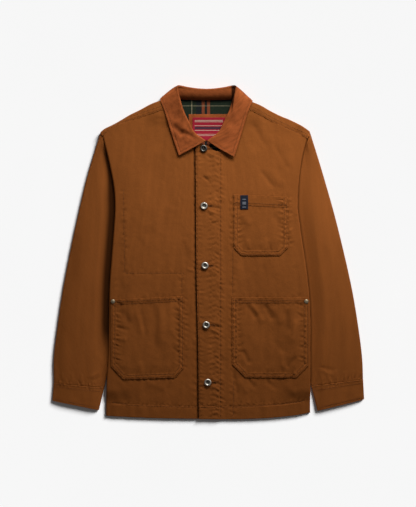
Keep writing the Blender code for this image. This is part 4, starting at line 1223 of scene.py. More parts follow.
def yoke_grid():
    """The yoke's outer face: underside from the back seam, round the shoulder folds, to the front seam.
    Returns the grid, the cells that are cloth, which leave out the neck, and the rows underneath."""
    under, over = 34, 30  # rows of the underside and of the forward shoulders
    radius = BODY_DEPTH / 2
    shares = np.linspace(0, 1, STRAP_COLS + 1)
    right, left = shoulder_line(SHOULDER_FOLD[-1], shares), shoulder_line(SHOULDER_FOLD[1], shares)
    line = np.vstack([right[:-1], along(BACK_NECKLINE, np.linspace(0, 1, NECK_COLS + 1)), left[-2::-1]])
    right, left = shoulder_line(SHOULDER_SEAM[-1], shares), shoulder_line(SHOULDER_SEAM[1], shares)
    seam = np.vstack([right[:-1], np.linspace(right[-1], left[-1], NECK_COLS + 1), left[-2::-1]])
    in_neck = np.zeros(len(line), bool)
    in_neck[STRAP_COLS + 1 : STRAP_COLS + NECK_COLS] = True
    start = line[:, 1] - np.where(in_neck, 0, radius)
    level = np.linspace(0, 1, under)[:, None]
    y = YOKE_SEAM_Y + (start - YOKE_SEAM_Y) * level
    reach = np.where(line[:, 0] < 0, back_side(-1, y) / -line[0, 0], back_side(1, y) / line[-1, 0])
    x = line[:, 0] * np.where(level < 1, reach, 1)
    rows = [np.dstack([x, y, lift(x, y)])]
    turn = np.linspace(0, math.pi, SHOULDER_STEPS + 1)[1:, None]
    round_x = np.repeat(line[None, :, 0], SHOULDER_STEPS, 0)
    round_z = lift(line[:, 0], start) + radius - radius * np.cos(turn)
    rows.append(np.dstack([round_x, start + radius * np.sin(turn), round_z]))
    level = np.linspace(0, 1, over + 1)[1:, None]
    lap = 1.4  # the yoke's folded edge lies on the fronts
    x = line[:, 0] + (seam[:, 0] - line[:, 0]) * level
    y = start + (seam[:, 1] - lap - start) * level
    from_seam = (1 - level) * np.abs(start - seam[:, 1])
    z = lift(x, y) + BODY_DEPTH + 0.5 * smooth(level * 1.6) + 0.4 * smooth((12 - from_seam) / 3)
    for row in YOKE_ROWS:
        z = z - 0.4 * bell(from_seam - row, 1.2)
    ripple = 2 * np.abs(np.sin(x / 3.3 + 1.4 * np.sin(x / 17))) - 1  # puckers of a wandering pitch
    z = z + sizes().pucker_depth * 0.28 * ripple * smooth(level * 2)
    z = z + 0.3 * unevenness(x, y, 30, 14, 5)
    rows.append(np.dstack([x, y, z]))
    grid = np.concatenate(rows, 0)
    keep = np.ones((grid.shape[0] - 1, grid.shape[1] - 1), bool)
    keep[under - 1 :, STRAP_COLS : STRAP_COLS + NECK_COLS] = False
    return grid, keep, under


def sleeve_top(out, y, across, width, crown, side):
    """Upper layer of a sleeve: crowned where it shows, low where the body covers it, with its folds. The
    valley beside the body narrows towards the shoulder, where the seam holds the sleeve up, and the outer
    fold is higher by the shoulder's tip."""
    valley = VALLEY * (1 - 0.8 * smooth((y - 190) / 70))
    by_tip = smooth((y - 225) / 45)
    beside = smooth((out - side_edge(side, y) - 2 + 6 * by_tip) / valley)
    edge = SLEEVE_EDGE + 4 * by_tip
    rounded = edge + (crown - edge) * np.sin(math.pi / 2 * np.clip(across / (0.3 * width), 0, 1))
    folds = creases(out, y, SLEEVE_FOLDS) + sizes().crease_depth * (
        creases(out, y, SLEEVE_CREASES[side]) + 0.35 * unevenness(out, y, 22, 90, 31 + side)
    )
    near_fold = smooth((across - 3) / 12) * smooth((width - across - 3) / 12)
    gathers = puckers(out, y, ("cuff", side))
    return UNDER_BODY + (rounded - UNDER_BODY) * beside + (folds + gathers) * beside * near_fold


def tube_grid(side, table, stations):
    """A flattened tube on the surface: each station is a floor line, an outer bend, the crowned top and
    an inner bend, worked out from the table's folds. Returns the grid and its top's first and last
    column."""
    flat, bend, over = 12, 7, 64  # columns of the floor line, of each bend and of the top
    at_row = np.linspace(0, len(table) - 1, stations)
    rows = spline(at_row, np.arange(len(table)), table)
    outer, inner, crown = rows[:, None, 0:2], rows[:, None, 2:4], rows[:, None, 4]
    width = np.linalg.norm(inner - outer, axis=2)

    def at(across):
        """Outward distance and y of the points this far in from the outer fold."""
        spot = outer + (inner - outer) * (across / width)[..., None]
        return spot[..., 0], spot[..., 1]

    def height(across):
        """Height of the top at those points."""
        out, y = at(across)
        return sleeve_top(out, y, across, width, crown, side)

    def slant(fold):
        """How much longer a station is than a square cut across its fold: 1 over the sine of their angle."""
        run = np.gradient(fold[:, 0], axis=0)
        across = (inner - outer)[:, 0] / width
        turned_by = run[:, 0] * across[:, 1] - run[:, 1] * across[:, 0]
        return 1 / np.maximum(np.abs(turned_by) / np.linalg.norm(run, axis=1), 0.3)[:, None]

    radius = height(SLEEVE_EDGE / 2 * slant(outer)) / 2
    inner_radius = height(width - UNDER_BODY / 2 * slant(inner)) / 2
    begin, end = radius * slant(outer), width - inner_radius * slant(inner)
    lay = begin + (end - begin) * np.linspace(1, 0, flat + 1)[None, :]
    turn = np.linspace(0, math.pi, bend + 1)[None, 1:-1]
    rise = radius - radius * np.cos(turn)
    rolled = begin * (1 - np.sin(turn))
    top = begin + (end - begin) * np.linspace(0, 1, over + 1)[None, :]
    sink = inner_radius + inner_radius * np.cos(turn)
    tucked = end + (width - end) * np.sin(turn)
    across = np.concatenate([lay, rolled, top, tucked], 1)
    z = np.concatenate([np.zeros_like(lay), rise, height(top), sink], 1)
    out, y = at(across)
    first_top = flat + bend
    return np.dstack([side * out, y, z]), (first_top, first_top + over)


COLLAR_STAND_COLS = STAND_POINTS + ROLL_POINTS


def collar_section(row, side, shares):
    """Middle of the collar's cloth at one station, from the neck seam over the roll to the fall's edge:
    a stand that is straight in plan and lies back behind the neck, an arc, and a quadratic curve whose
    height falls by its own power."""
    n, c, k, f = row[0:3], row[3:6], row[6:9], row[9:12]
    heading, roll = math.radians(row[12]), math.radians(row[13])
    outward = np.array([math.cos(heading), math.sin(heading), 0])
    above = outward * math.sin(roll) + np.array([0, 0, math.cos(roll)])
    nose = -outward * math.cos(roll) + np.array([0, 0, math.sin(roll)])
    low, high = c - ROLL_RADIUS * above, c + ROLL_RADIUS * above
    share = np.linspace(0, 1, STAND_POINTS)
    stand = n + (low - n) * share[:, None]
    stand[:, 2] = n[2] + (low[2] - n[2]) * (1 - (1 - share) ** (1 + 2 * smooth((row[13] - 55) / 35)))
    bend = np.radians(np.linspace(20, 160, ROLL_POINTS))[:, None]
    arc = c + ROLL_RADIUS * (nose * np.sin(bend) - above * np.cos(bend))
    t = shares[:, None]
    fall = high * (1 - t) ** 2 + 2 * np.array(k) * t * (1 - t) + f * t * t
    fall[:, 2] = f[2] + (high[2] - f[2]) * (1 - shares) ** row[8]
    points = np.vstack([stand, arc, fall])
    return points * np.array([side, 1, 1]) + np.array([COLLAR_CENTRE_X, 0, 0])


def collar_grid():
    """The whole collar's middle surface, from the right tip round the neck to the left tip. Returns the
    grid, its normals and what its finish paints as shade and highlight: its fine folds and seam ridges, a
    painted shade on the stand behind the neck and a painted shadow in the corner by the left leaf."""
    knots = np.arange(len(COLLAR_ROWS))
    # Closer at the tip, and down the fall at its edge
    at = np.unique(np.concatenate([np.linspace(0, 9, 82), np.linspace(0, 0.25, 8)]))
    rows = spline(at, knots, COLLAR_ROWS)
    fall = np.unique(np.concatenate([np.linspace(0, 0.8, 22), np.linspace(0.82, 0.965, 10), [1.0]]))
    right = [collar_section(row, -1, fall) for row in rows]
    rows[:, [7, 10]] -= spline(at, knots, LEFT_DROP)[:, None]
    left = [collar_section(row, 1, fall) for row in rows[:-1]][::-1]
    grid = np.array(right + left)
    normal = grid_normals(grid, True)
    x, y = grid[..., 0], grid[..., 1]
    on_fall = np.concatenate([np.zeros(COLLAR_STAND_COLS), smooth(fall * 5)])[None, :]
    leaf = smooth((345 - y) / 20) * on_fall
    bumps = sizes().crease_depth * (creases(x, y, COLLAR_CREASES) + 0.8 * unevenness(x, y, 24, 30, 3))
    from_edge = lengths_across(grid)[:, -1:] - lengths_across(grid)
    down, up = lengths_across(grid.swapaxes(0, 1)), lengths_across(grid[::-1].swapaxes(0, 1))
    from_edge = np.minimum(from_edge, np.minimum(down, up[:, ::-1]).T)
    seam_ridge = 0.5 * smooth((9 - from_edge) / 3) - 0.8 * bell(from_edge - COLLAR_STITCH, 1.2)
    tip_rise = 0.9 * leaf * smooth((255 - y) / 30)  # the tips stand off the fronts a little
    grid = grid + normal * (leaf * bumps + on_fall * seam_ridge * leaf + tip_rise)[..., None]
    in_stand = smooth((COLLAR_STAND_COLS - 1 - np.arange(grid.shape[1])) / 4)
    # Painted highlight on the seam ridges, painted shade in the creases and stitch furrow, and painted shade
    # on the stand behind the neck
    relief = 0.3 * leaf * bumps + leaf * seam_ridge - 0.42 * in_stand * smooth((y - 300) / 45)
    left_roll = 55.5 + 0.16 * (y - 323)  # the deep corner between the stand and the left leaf, where a near black shadow is painted
    corner = smooth((x - 53) / 4) * smooth((left_roll + 0.5 - x) / 2) * smooth((y - 320) / 10)
    # Painted shadow in that corner
    relief = relief - 2.6 * corner
    return grid, normal, relief


def lengths_across(grid):
    """Running length along each row of a grid."""
    return np.cumsum(np.linalg.norm(np.diff(grid, axis=1, prepend=grid[:, :1]), axis=2), 1)


def lining_face(x, y):
    """Height of the neck lining: the layer below, its own height over that, and a slight unevenness."""
    return lift(x, y) + LINING_HEIGHT + 0.25 * unevenness(x, y, 24, 30, 9)


def patch_plan(outline, u, v):
    """Plan of a pocket or label: a sheet between its top, its sides and its foot with cut-off corners."""
    top_left, top_right, right_low, foot_right, foot_left, left_low = [np.array(p, float) for p in outline]
    foot = straight([left_low, foot_left, foot_right, right_low], u)
    top = straight([top_left, top_right], u)
    left, right = straight([left_low, top_left], v), straight([right_low, top_right], v)
    return coons(foot, top, left, right, u, v)


def edge_of(outline, number):
    """First corner, direction and inward normal of one edge of an outline."""
    first, last = np.array(outline, float)[[number, (number + 1) % len(outline)]]
    run = (last - first) / np.linalg.norm(last - first)
    return first, run, np.array([run[1], -run[0]])


def edge_distance(x, y, outline, edges=(1, 2, 3, 4, 5)):
    """Distance inside the nearest of an outline's numbered edges (0 is the top): the least product of the
    way from an edge's corner and that edge's inward normal."""
    nearest = np.full(np.broadcast(x, y).shape, np.inf)
    for i in edges:
        corner, _, inward = edge_of(outline, i)
        nearest = np.minimum(nearest, (x - corner[0]) * inward[0] + (y - corner[1]) * inward[1])
    return nearest


def pocket_face(name):
    """Height of a pocket's outer face: the front below it, its cloth, the two sunk rows of stitching, the
    turned edge between them, the thicker mouth that stands off the front, and its own creases. At each call
    the function that comes back also leaves, as its own attribute, what the finish paints as shade and
    highlight: its creases, a painted highlight along the turned edge and a painted shade in the rows of
    stitching."""
    side, outline = POCKETS[name]
    wall = sizes().canvas_wall / MM
    hem = MOUTH_HEM[name]

    def face(x, y):
        inside = np.maximum(edge_distance(x, y, outline), 0)
        below_top = np.maximum(edge_distance(x, y, outline, (0,)), 0)
        rise = 0.35 + wall + 0.55 * (1 - smooth((inside - 9.5) / 2.5)) + 0.9 * smooth((inside - 10) / 22)
        for row in POCKET_ROWS:
            rise = rise - 0.42 * bell(inside - row, 0.9)
        from_hem = below_top - hem
        rise = rise + 0.5 * (1 - smooth(from_hem / 2)) - 0.35 * bell(from_hem, 1.1)
        gape = np.exp(-below_top / 14) * smooth((inside - 6) / 26)
        rise = rise + 1.3 * gape * (0.75 + 0.35 * np.sin(x / 19))
        broad = 1.3 * sizes().crease_depth * creases(x, y, POCKET_CREASES[name])
        own = broad + puckers(x, y, name) + 0.3 * unevenness(x, y, 26, 40, 17)
        furrows = sum(bell(inside - row, 1.2) for row in POCKET_ROWS)
        # Painted highlight along the turned edge and painted shade in the furrows of the stitching
        edge_highlight_and_shade = 0.7 * smooth((9.5 - inside) / 2) - 0.6 * furrows
        face.relief = (own - 0.55 * broad) * smooth((inside - 1) / 8) + edge_highlight_and_shade
        return front_face(x, y, side) + rise + own * smooth((inside - 1) / 8)

    return face


def pocket_shadow_line(x, y, side):
    """Where a front is painted with the pockets' shadow: 1 just outside their stitched edges, fading over
    two millimetres.
    """
    line = np.zeros(np.shape(x))
    for pocket_side, outline in POCKETS.values():
        if pocket_side == side:
            outside = -np.minimum(edge_distance(x, y, outline), edge_distance(x, y, outline, (0,)))
            line = np.maximum(line, bell(np.maximum(outside, 0), 2.0) * (outside > -3))
    return line


def inset_line(outline, distance):
    """A pocket's outline, drawn in by a distance, from the top of one side round its foot to the other: each
    corner is where two edges cross that were moved inwards."""
    edges = [edge_of(outline, number) for number in (1, 2, 3, 4, 5)]
    lines = [(first + inward * distance, run) for first, run, inward in edges]
    made = [outline[1] + np.array([-distance, -1.0])]
    for (p, d), (q, e) in zip(lines[:-1], lines[1:]):
        made.append(p + d * np.linalg.solve(np.column_stack([d, -e]), q - p)[0])
    made.append(outline[0] + np.array([distance, -1.0]))
    return made


def shares_near_edges(width, spacing, marks):
    """Shares across a pocket, with extra ones at marked distances from both of its edges."""
    marks = np.array(marks) / width
    even = np.linspace(0, 1, int(width / spacing))
    return np.unique(np.concatenate([even, marks, 1 - marks]).round(5))


# Distances from a pocket's edge at which its grid is closer
EDGE_MARKS = (0, 0.7, 1.5, 2.2, 2.9, 3.8, 5.2, 6.6, 7.6, 8.4, 9.2, 10.2, 12, 14)


# Operators


class JacketSizes(bpy.types.PropertyGroup):
    """Sizes that a user may change, in metres where they are lengths."""

    canvas_wall: bpy.props.FloatProperty(
        name="Canvas thickness", description="Thickness of one layer of canvas", default=0.0009,
        min=0.0004, max=0.0015, precision=5, unit="LENGTH")
    collar_wall: bpy.props.FloatProperty(
        name="Collar thickness", description="Thickness of the collar, two layers and interlining",
        default=0.002, min=0.001, max=0.003, precision=5, unit="LENGTH")
    thread_width: bpy.props.FloatProperty(
        name="Thread width", description="Width of the sewing thread", default=0.0009, min=0.0003,
        max=0.0014, precision=5, unit="LENGTH")
    stitch_length: bpy.props.FloatProperty(
        name="Stitch length", description="Distance from one stitch to the next", default=0.0036, min=0.002,
        max=0.006, precision=5, unit="LENGTH")
    crease_depth: bpy.props.FloatProperty(
        name="Crease depth", description="How deep the creases are, as a multiple", default=1.0, min=0.0,
        max=1.5, subtype="FACTOR")
    pucker_depth: bpy.props.FloatProperty(
        name="Pucker depth", description="How deep the puckers beside the seams are, as a multiple",
        default=1.4, min=0.0, max=2.0, subtype="FACTOR")
    top_strength: bpy.props.FloatProperty(
        name="Top light", description="Power of the light above the collar in watts", default=3.0, min=0.0,
        max=200.0)
    side_strength: bpy.props.FloatProperty(
        name="Side light", description="Strength of the light from the wearer's left", default=0.6, min=0.0,
        max=20.0)


class JacketColours(bpy.types.PropertyGroup):
    """Colours that a user may change."""

    canvas: bpy.props.FloatVectorProperty(
        name="Canvas", description="Colour of the canvas", default=linear("#834a20"), size=4, min=0, max=1,
        subtype="COLOR")
    collar: bpy.props.FloatVectorProperty(
        name="Collar", description="Colour of the collar's brushed cotton", default=linear("#8c4924"),
        size=4, min=0, max=1, subtype="COLOR")
    thread: bpy.props.FloatVectorProperty(
        name="Thread", description="Colour of the topstitching", default=linear("#70401b"), size=4, min=0,
        max=1, subtype="COLOR")


class JACKET_OT_fronts(bpy.types.Operator):
    """Make the two front panels and their stitching"""

    bl_idname = "jacket.fronts"
    bl_label = "Fronts"

    def execute(self, context):
        for side, word in WORDS.items():
            grid = front_grid(side)
            x, y = grid[..., 0], grid[..., 1]
            piece = shell(f"front_{word}_cloth", grid, front_wall(grid, side), canvas(), flip=side < 0,
                          relief=front_tone(x, y, side))

            face = functools.partial(front_face, side=side)
            runs = [run_on(face, line) for line in FRONT_STITCHES[side]]
            stitching = sew(f"front_{word}_stitching", runs, thread())
            settle(piece, "canvas", [f"front_{word}"], cut=(0.33, 0.75),
                   with_pieces=[stitching])
        return {"FINISHED"}


class JACKET_OT_back(bpy.types.Operator):
    """Make the back panel"""

    bl_idname = "jacket.back"
    bl_label = "Back"

    def execute(self, context):
        grid = back_grid()
        piece = shell("back_cloth", grid, sizes().canvas_wall / MM, canvas(), flip=True)
        rows, count = grid.shape[:2]
        cols = np.linspace(1, count - 2, 180)
        # above the hem, and twice below the yoke
        runs = [run_in(grid, row, cols, flip=True, raised=0.1) for row in (7.5, rows - 2.0, rows - 3.2)]
        stitching = sew("back_stitching", runs, thread())
        settle(piece, "canvas", ["back"], cut=(0.41, 0.62), with_pieces=[stitching])
        return {"FINISHED"}


class JACKET_OT_yoke(bpy.types.Operator):
    """Make the yoke with its forward shoulders"""

    bl_idname = "jacket.yoke"
    bl_label = "Yoke"

    def execute(self, context):
        grid, keep, under = yoke_grid()
        piece = shell("yoke_cloth", grid, sizes().canvas_wall / MM, canvas(), flip=True, keep=keep)
        from_seam = lengths_across(grid[under:].swapaxes(0, 1))
        from_seam = (from_seam[:, -1:] - from_seam).T
        runs = []
        for first in (1, STRAP_COLS + NECK_COLS + 1):
            cols = np.linspace(first, first + STRAP_COLS - 2, 150)
            strip = np.interp(cols, np.arange(from_seam.shape[1]), from_seam[SHOULDER_STEPS])
            for gap in YOKE_ROWS:
                held = cols[strip > gap + 0.8]  # the strip narrows towards the shoulder's tip
                row = [np.interp(-gap, -from_seam[:, int(col)], np.arange(len(from_seam))) for col in held]
                runs.append(run_in(grid, under + np.array(row), held, flip=True))
        stitching = sew("yoke_stitching", runs, thread())
        settle(piece, "canvas", ["yoke"], cut=(0.5, 0.19),
               with_pieces=[stitching])
        return {"FINISHED"}


class JACKET_OT_sleeves(bpy.types.Operator):
    """Make the two sleeves"""

    bl_idname = "jacket.sleeves"
    bl_label = "Sleeves"

    def execute(self, context):
        for side, word in WORDS.items():
            grid, _ = tube_grid(side, SLEEVES[side], SLEEVE_STATIONS)
            piece = shell(f"sleeve_{word}_cloth", grid, sizes().canvas_wall / MM, canvas(), closed=True,
                          flip=side < 0, relief=sleeve_tone(grid, side))
            settle(piece, "canvas", [f"sleeve_{word}"], cut=(0.43, 0.6))
        return {"FINISHED"}


class JACKET_OT_cuffs(bpy.types.Operator):
    """Make the two cuffs and their stitching"""

    bl_idname = "jacket.cuffs"
    bl_label = "Cuffs"

    def execute(self, context):
        for side, word in WORDS.items():
            grid, (first, last) = tube_grid(side, CUFFS[side], CUFF_STATIONS)
            grid[..., 2] += 0.25 * unevenness(grid[..., 0], grid[..., 1], 16, 12, 40) * (grid[..., 2] > 6)
            piece = shell(f"cuff_{word}_cloth", grid, CUFF_WALL, canvas(), closed=True, flip=side < 0)
            cols = np.linspace(first + 1, last - 1, 110)
            runs = [run_in(grid, row, cols, flip=side < 0) for row in CUFF_ROWS]
            stitching = sew(f"cuff_{word}_stitching", runs, thread())
            settle(piece, "canvas", [f"cuff_{word}"], cut=(0.25, 0.05),
                   with_pieces=[stitching])
        return {"FINISHED"}


class JACKET_OT_collar(bpy.types.Operator):
    """Make the collar"""

    bl_idname = "jacket.collar"
    bl_label = "Collar"

    def execute(self, context):
        middle, normal, relief = collar_grid()
        wall = sizes().collar_wall / MM
        grid = middle + normal * wall / 2
        piece = shell("collar_cloth", grid, wall, collar_cloth(), flip=True, relief=relief)
        from_edge = lengths_across(grid)[:, -1:] - lengths_across(grid)
        cols = np.array([np.interp(-COLLAR_STITCH, -row, np.arange(len(row))) for row in from_edge])
        down = lengths_across(grid.swapaxes(0, 1))[-1]  # along the fall's edge, from the right tip
        every = np.arange(len(grid))
        first, last = np.interp((COLLAR_STITCH, down[-1] - COLLAR_STITCH), down, every)
        rows = np.arange(first, last)
        runs = [run_in(grid, rows, np.interp(rows, every, cols), flip=True)]
        for row in (first, last):
            across = np.linspace(COLLAR_STAND_COLS + 3, cols[int(row)], 60)
            runs.append(run_in(grid, row, across, flip=True))
        stitching = sew("collar_stitching", runs, thread())
        settle(piece, "collar_cloth", ["collar"], cut=(0.5, 0.1),
               with_pieces=[stitching])
        return {"FINISHED"}


class JACKET_OT_neck(bpy.types.Operator):
    """Make the neck lining, the patch behind the label and the label"""

    bl_idname = "jacket.neck"
    bl_label = "Neck lining and label"

    def execute(self, context):
        u, v = np.linspace(0, 1, 60), np.linspace(0, 1, 50)
        x = LINING_X[0] + (LINING_X[1] - LINING_X[0]) * u[None, :]
        y = LINING_Y[0] + (LINING_Y[1] - LINING_Y[0]) * v[:, None]
        x, y = np.broadcast_arrays(x, y)
        x = COLLAR_CENTRE_X + (x - COLLAR_CENTRE_X) * (1 - 0.16 * smooth((y - 338) / 16))
        grid = np.dstack([x, y, lining_face(x, y)])
        lining = shell("neck_lining_cloth", grid, LINING_WALL, check_lining())
        settle(lining, "check_lining", ["neck_lining"], cut=(0.168, 0.133))
        cream, navy = linear("#b9a590"), linear("#3a2230")
        bars = [(6, 0.5, cream), (9, 0.5, cream), (18, 0.6, cream), (23.5, 3.0, navy), (29, 0.6, cream),
                (38, 0.7, cream), (41, 0.7, cream)]
        label = woven_label("damask_label", linear("#95182a"), linear("#6d1222"), bars, LABEL_WEAVE)
        u, v = (shares_near_edges(long, 2.5, (0, 0.6, 1.4, 2.4)) for long in (90, 55))
        for name, outline, wall, raised, slot, finish, cut in (
            ("label_patch", LABEL_PATCH, 0.8, 1.2, "collar_cloth", collar_cloth(), (0.094, 0.063)),
            ("neck_label", NECK_LABEL, 0.5, 2.1, "label_cloth", label, (0.076, 0.048)),
        ):
            x, y = np.moveaxis(patch_plan(outline, u, v), -1, 0)
            z = lining_face(x, y) + raised + 0.2 * unevenness(x, y, 15, 12, 21)
            piece = shell(name + "_cloth", np.dstack([x, y, z]), wall, finish)
            settle(piece, slot, [name], cut=cut)
        return {"FINISHED"}


class JACKET_OT_pockets(bpy.types.Operator):
    """Make the three patch pockets, the tab and their stitching"""

    bl_idname = "jacket.pockets"
    bl_label = "Pockets"

    def execute(self, context):
        for name, (side, outline) in POCKETS.items():
            width, height = np.ptp(np.array(outline, float), axis=0)
            u, v = (shares_near_edges(long, 2.3, EDGE_MARKS) for long in (width, height))
            x, y = np.moveaxis(patch_plan(outline, u, v), -1, 0)
            face = pocket_face(name)
            grid = np.dstack([x, y, face(x, y)])
            piece = shell(name + "_cloth", grid, sizes().canvas_wall / MM, canvas(), relief=face.relief)
            runs = [run_on(face, inset_line(outline, row)) for row in POCKET_ROWS]
            (x0, y0), (x1, y1) = outline[:2]
            for drop in (MOUTH_HEM[name], MOUTH_HEM[name] - MOUTH_ROWS):
                runs.append(run_on(face, [(x0 + 2, y0 - drop), (x1 - 2, y1 - drop)]))
            stitching = sew(name + "_stitching", runs, thread())
            settle(piece, "canvas", [name], cut=(width * MM + 0.002, height * MM + 0.002),
                   with_pieces=[stitching])
        self.tab()
        return {"FINISHED"}

    def tab(self):
        """A small rectangle of tape that lies on the chest pocket's face."""
        (x0, y0), (x1, y1) = TAB
        u, v = (shares_near_edges(long, 1.5, (0, 0.6, 1.2)) for long in (x1 - x0, y1 - y0))
        x, y = np.meshgrid(x0 + (x1 - x0) * u, y0 + (y1 - y0) * v)
        z = pocket_face("chest_pocket")(x, y) + TAB_HEIGHT
        paint = [(5, 0.7, linear("#7d8087")), (14, 3.2, linear("#6a6d74")), (23, 0.7, linear("#7d8087"))]
        finish = woven_label("damask_tab", linear("#1a1e2a"), linear("#0c0e15"), paint, TAB)
        piece = shell("pocket_tab_cloth", np.dstack([x, y, z]), TAB_WALL, finish)
        settle(piece, "tab_cloth", ["pocket_tab"], cut=(0.0182, 0.0327))


class JACKET_OT_metal(bpy.types.Operator):
    """Make the buttons, the buttonholes and the rivets"""

    bl_idname = "jacket.metal"
    bl_label = "Buttons and rivets"

    def execute(self, context):
        pale, dark = linear("#d3ccbf"), linear("#3f3a33")
        for number, (x, y) in enumerate(BUTTONS, 1):
            base = float(front_face(x, y, 1)) + 0.9
            # The first button is a darker copy of the metal: a painted shadow of the collar that hangs over
            # it
            if number == 1:
                finish = aged_metal("nickel_in_painted_shadow", shade(pale, 0.17), shade(dark, 0.22))
            else:
                finish = aged_metal("tumbled_nickel", pale, dark)
            piece = turned(f"button_{number}_metal", BUTTON_PROFILE, (x, y, base), finish)
            self.rub(piece, base + 1.6, base + 3.2)
            settle(piece, "button_metal", [f"button_{number}"])
        self.buttonholes()
        for name, (side, x, y) in RIVETS.items():
            base = float(pocket_face("lower_pocket_" + WORDS[side])(x, y)) + 0.1
            finish = aged_metal("tumbled_brass", linear("#c4b292"), linear("#5a4830"))
            piece = turned(name + "_metal", RIVET_PROFILE, (x, y, base), finish, 32)
            self.rub(piece, base + 0.4, base + 1.5)
            settle(piece, "rivet_metal", [name])
        return {"FINISHED"}

    def buttonholes(self):
        """A close row of thread round each slit in the placket, its near end under the button."""
        turn = np.linspace(-math.pi / 2, math.pi / 2, 7)
        runs = []
        for x, y in BUTTONS:
            far = np.column_stack([x + HOLE_LENGTH - 2, y - 0.3]) + HOLE_ROUND * np.column_stack(
                [np.cos(turn), np.sin(turn)])
            line = np.vstack([[x - 1, y - 2], far, [x - 1, y + 1.4]])
            runs.append(run_on(functools.partial(front_face, side=1), line, 0.3, 1.0))
        stitching = sew("buttonhole_stitching", runs, thread(), TWIST_WIDTH)
        settle(stitching, "canvas")

    def rub(self, piece, low, high):
        """Marks the high rims, which are rubbed bright: from 0 at the height low to 1 at high."""
        places = np.zeros(len(piece.data.vertices) * 3, np.float32)
        piece.data.vertices.foreach_get("co", places)
        share = smooth((places[2::3] / MM - low) / (high - low)).astype(np.float32)
        piece.data.attributes.new("wear", "FLOAT", "POINT").data.foreach_set("value", share)


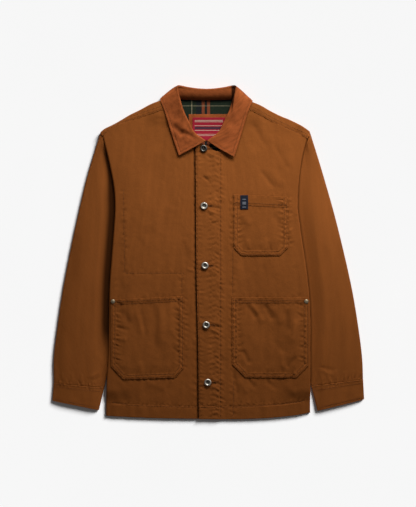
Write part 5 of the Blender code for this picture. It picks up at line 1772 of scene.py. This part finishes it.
class JACKET_OT_stage(bpy.types.Operator):
    """Make the floor, the studio light and the camera"""

    bl_idname = "jacket.stage"
    bl_label = "Floor, light and camera"

    def execute(self, context):
        scene = context.scene
        jacket = [thing for thing in scene.objects if thing.type == "MESH"]
        arms = [thing for thing in jacket if thing.name.startswith(("sleeve", "cuff"))]
        corners = FLOOR_REACH * np.array([(-1, -1), (1, -1), (1, 1), (-1, 1)])
        corners = np.column_stack([corners, np.full(4, FLOOR_LEVEL)])
        floor = new_mesh("floor", corners, [(0, 1, 2, 3)], self.paper())
        scene.world = self.studio_air()
        scene.view_settings.view_transform = "Standard"
        top = self.lamp("top_light", "AREA", TOP_LIGHT, sizes().top_strength, jacket, aim=TOP_AIM)
        top.shape = "RECTANGLE"
        top.size, top.size_y = 0.9, 0.3
        top.spread = math.radians(70)
        side = self.lamp("side_light", "SUN", SIDE_SUN, sizes().side_strength, jacket)
        side.angle = math.radians(12)
        self.lamp("cuff_light", "AREA", CUFF_LIGHT, CUFF_STRENGTH, arms).size = 0.5
        self.lamp("floor_light", "SUN", FLOOR_SUN, FLOOR_STRENGTH, [floor]).angle = math.radians(26)
        eye = bpy.data.cameras.new("camera")
        eye.sensor_width = 36
        eye.lens = eye.sensor_width * CAMERA_HEIGHT / (PICTURE_HEIGHT * MM)
        camera = bpy.data.objects.new("camera", eye)
        camera.location = (0, -PICTURE_SHIFT * MM, CAMERA_HEIGHT)
        scene.collection.objects.link(camera)
        scene.camera = camera
        return {"FINISHED"}

    def studio_air(self):
        """Pale surroundings that fill the shadows, brighter to the eye than the light they give."""
        world = bpy.data.worlds.new("studio")
        world.use_nodes = True
        tree = world.node_tree
        background = tree.nodes["Background"]
        background.inputs["Color"].default_value = linear("#fafafa")
        seen = node(tree, "LightPath", out="Is Camera Ray")
        strength = node(tree, "MapRange", (seen, 0.0, 1.0, 0.1, 0.95))
        tree.links.new(strength, background.inputs["Strength"])
        return world

    def paper(self):
        """Seamless background paper, matt, with a faint mottle about 300 mm across."""
        made, tree, shader = start_material("matt_white_paper", Roughness=0.9, Specular_IOR_Level=0.1)
        if tree is not None:
            place = node(tree, "TexCoord", out="Object")
            mottle = node(tree, "TexNoise", {"Vector": place, "Scale": 3.0, "Detail": 2.0})
            tone = layered(tree, linear("#f3f3f3"), (mottle, 0.0, 1.0, 0.0, 1.0, linear("#f5f5f5")))
            surface(tree, shader, Base_Color=tone)
        return made

    def lamp(self, name, kind, spot, strength, lit, aim=(0, 0, 0)):
        """A light at a spot, turned to its aim, that shines on the lit objects alone, so that the jacket's
        light leaves the floor even. Returns its data."""
        data = bpy.data.lights.new(name, kind)
        data.energy = strength
        thing = bpy.data.objects.new(name, data)
        thing.location = spot
        thing.rotation_euler = (Vector(aim) - thing.location).to_track_quat("-Z", "Y").to_euler()
        bpy.context.scene.collection.objects.link(thing)
        receivers = bpy.data.collections.new("lit_by_" + name)
        for one in lit:
            receivers.objects.link(one)
        thing.light_linking.receiver_collection = receivers
        return data


class JACKET_PT_panel(bpy.types.Panel):
    """Lists the jacket's sizes, colours and pieces"""

    bl_idname = "JACKET_PT_panel"
    bl_label = "Chore jacket"
    bl_space_type = "VIEW_3D"
    bl_region_type = "UI"
    bl_category = "Jacket"

    def draw(self, context):
        column = self.layout.column()
        for group in (sizes(), colours()):
            for key in group.__annotations__:
                column.prop(group, key)
        for operator in OPERATORS:
            column.operator(operator.bl_idname)


OPERATORS = (
    JACKET_OT_fronts,
    JACKET_OT_back,
    JACKET_OT_yoke,
    JACKET_OT_sleeves,
    JACKET_OT_cuffs,
    JACKET_OT_collar,
    JACKET_OT_neck,
    JACKET_OT_pockets,
    JACKET_OT_metal,
    JACKET_OT_stage,
)
CLASSES = (JacketSizes, JacketColours, *OPERATORS, JACKET_PT_panel)


def register():
    """Adds the classes and the scene's two groups of properties."""
    for made in CLASSES:
        bpy.utils.register_class(made)
    bpy.types.Scene.jacket_sizes = bpy.props.PointerProperty(type=JacketSizes)
    bpy.types.Scene.jacket_colours = bpy.props.PointerProperty(type=JacketColours)


def unregister():
    """Takes them away again."""
    del bpy.types.Scene.jacket_colours
    del bpy.types.Scene.jacket_sizes
    for made in reversed(CLASSES):
        bpy.utils.unregister_class(made)


def main():
    """Makes every piece and the stage."""
    register()
    jacket = bpy.ops.jacket
    for step in (jacket.fronts, jacket.back, jacket.yoke, jacket.sleeves, jacket.cuffs, jacket.collar,
                 jacket.neck, jacket.pockets, jacket.metal, jacket.stage):
        step()


if __name__ == "__main__":
    main()
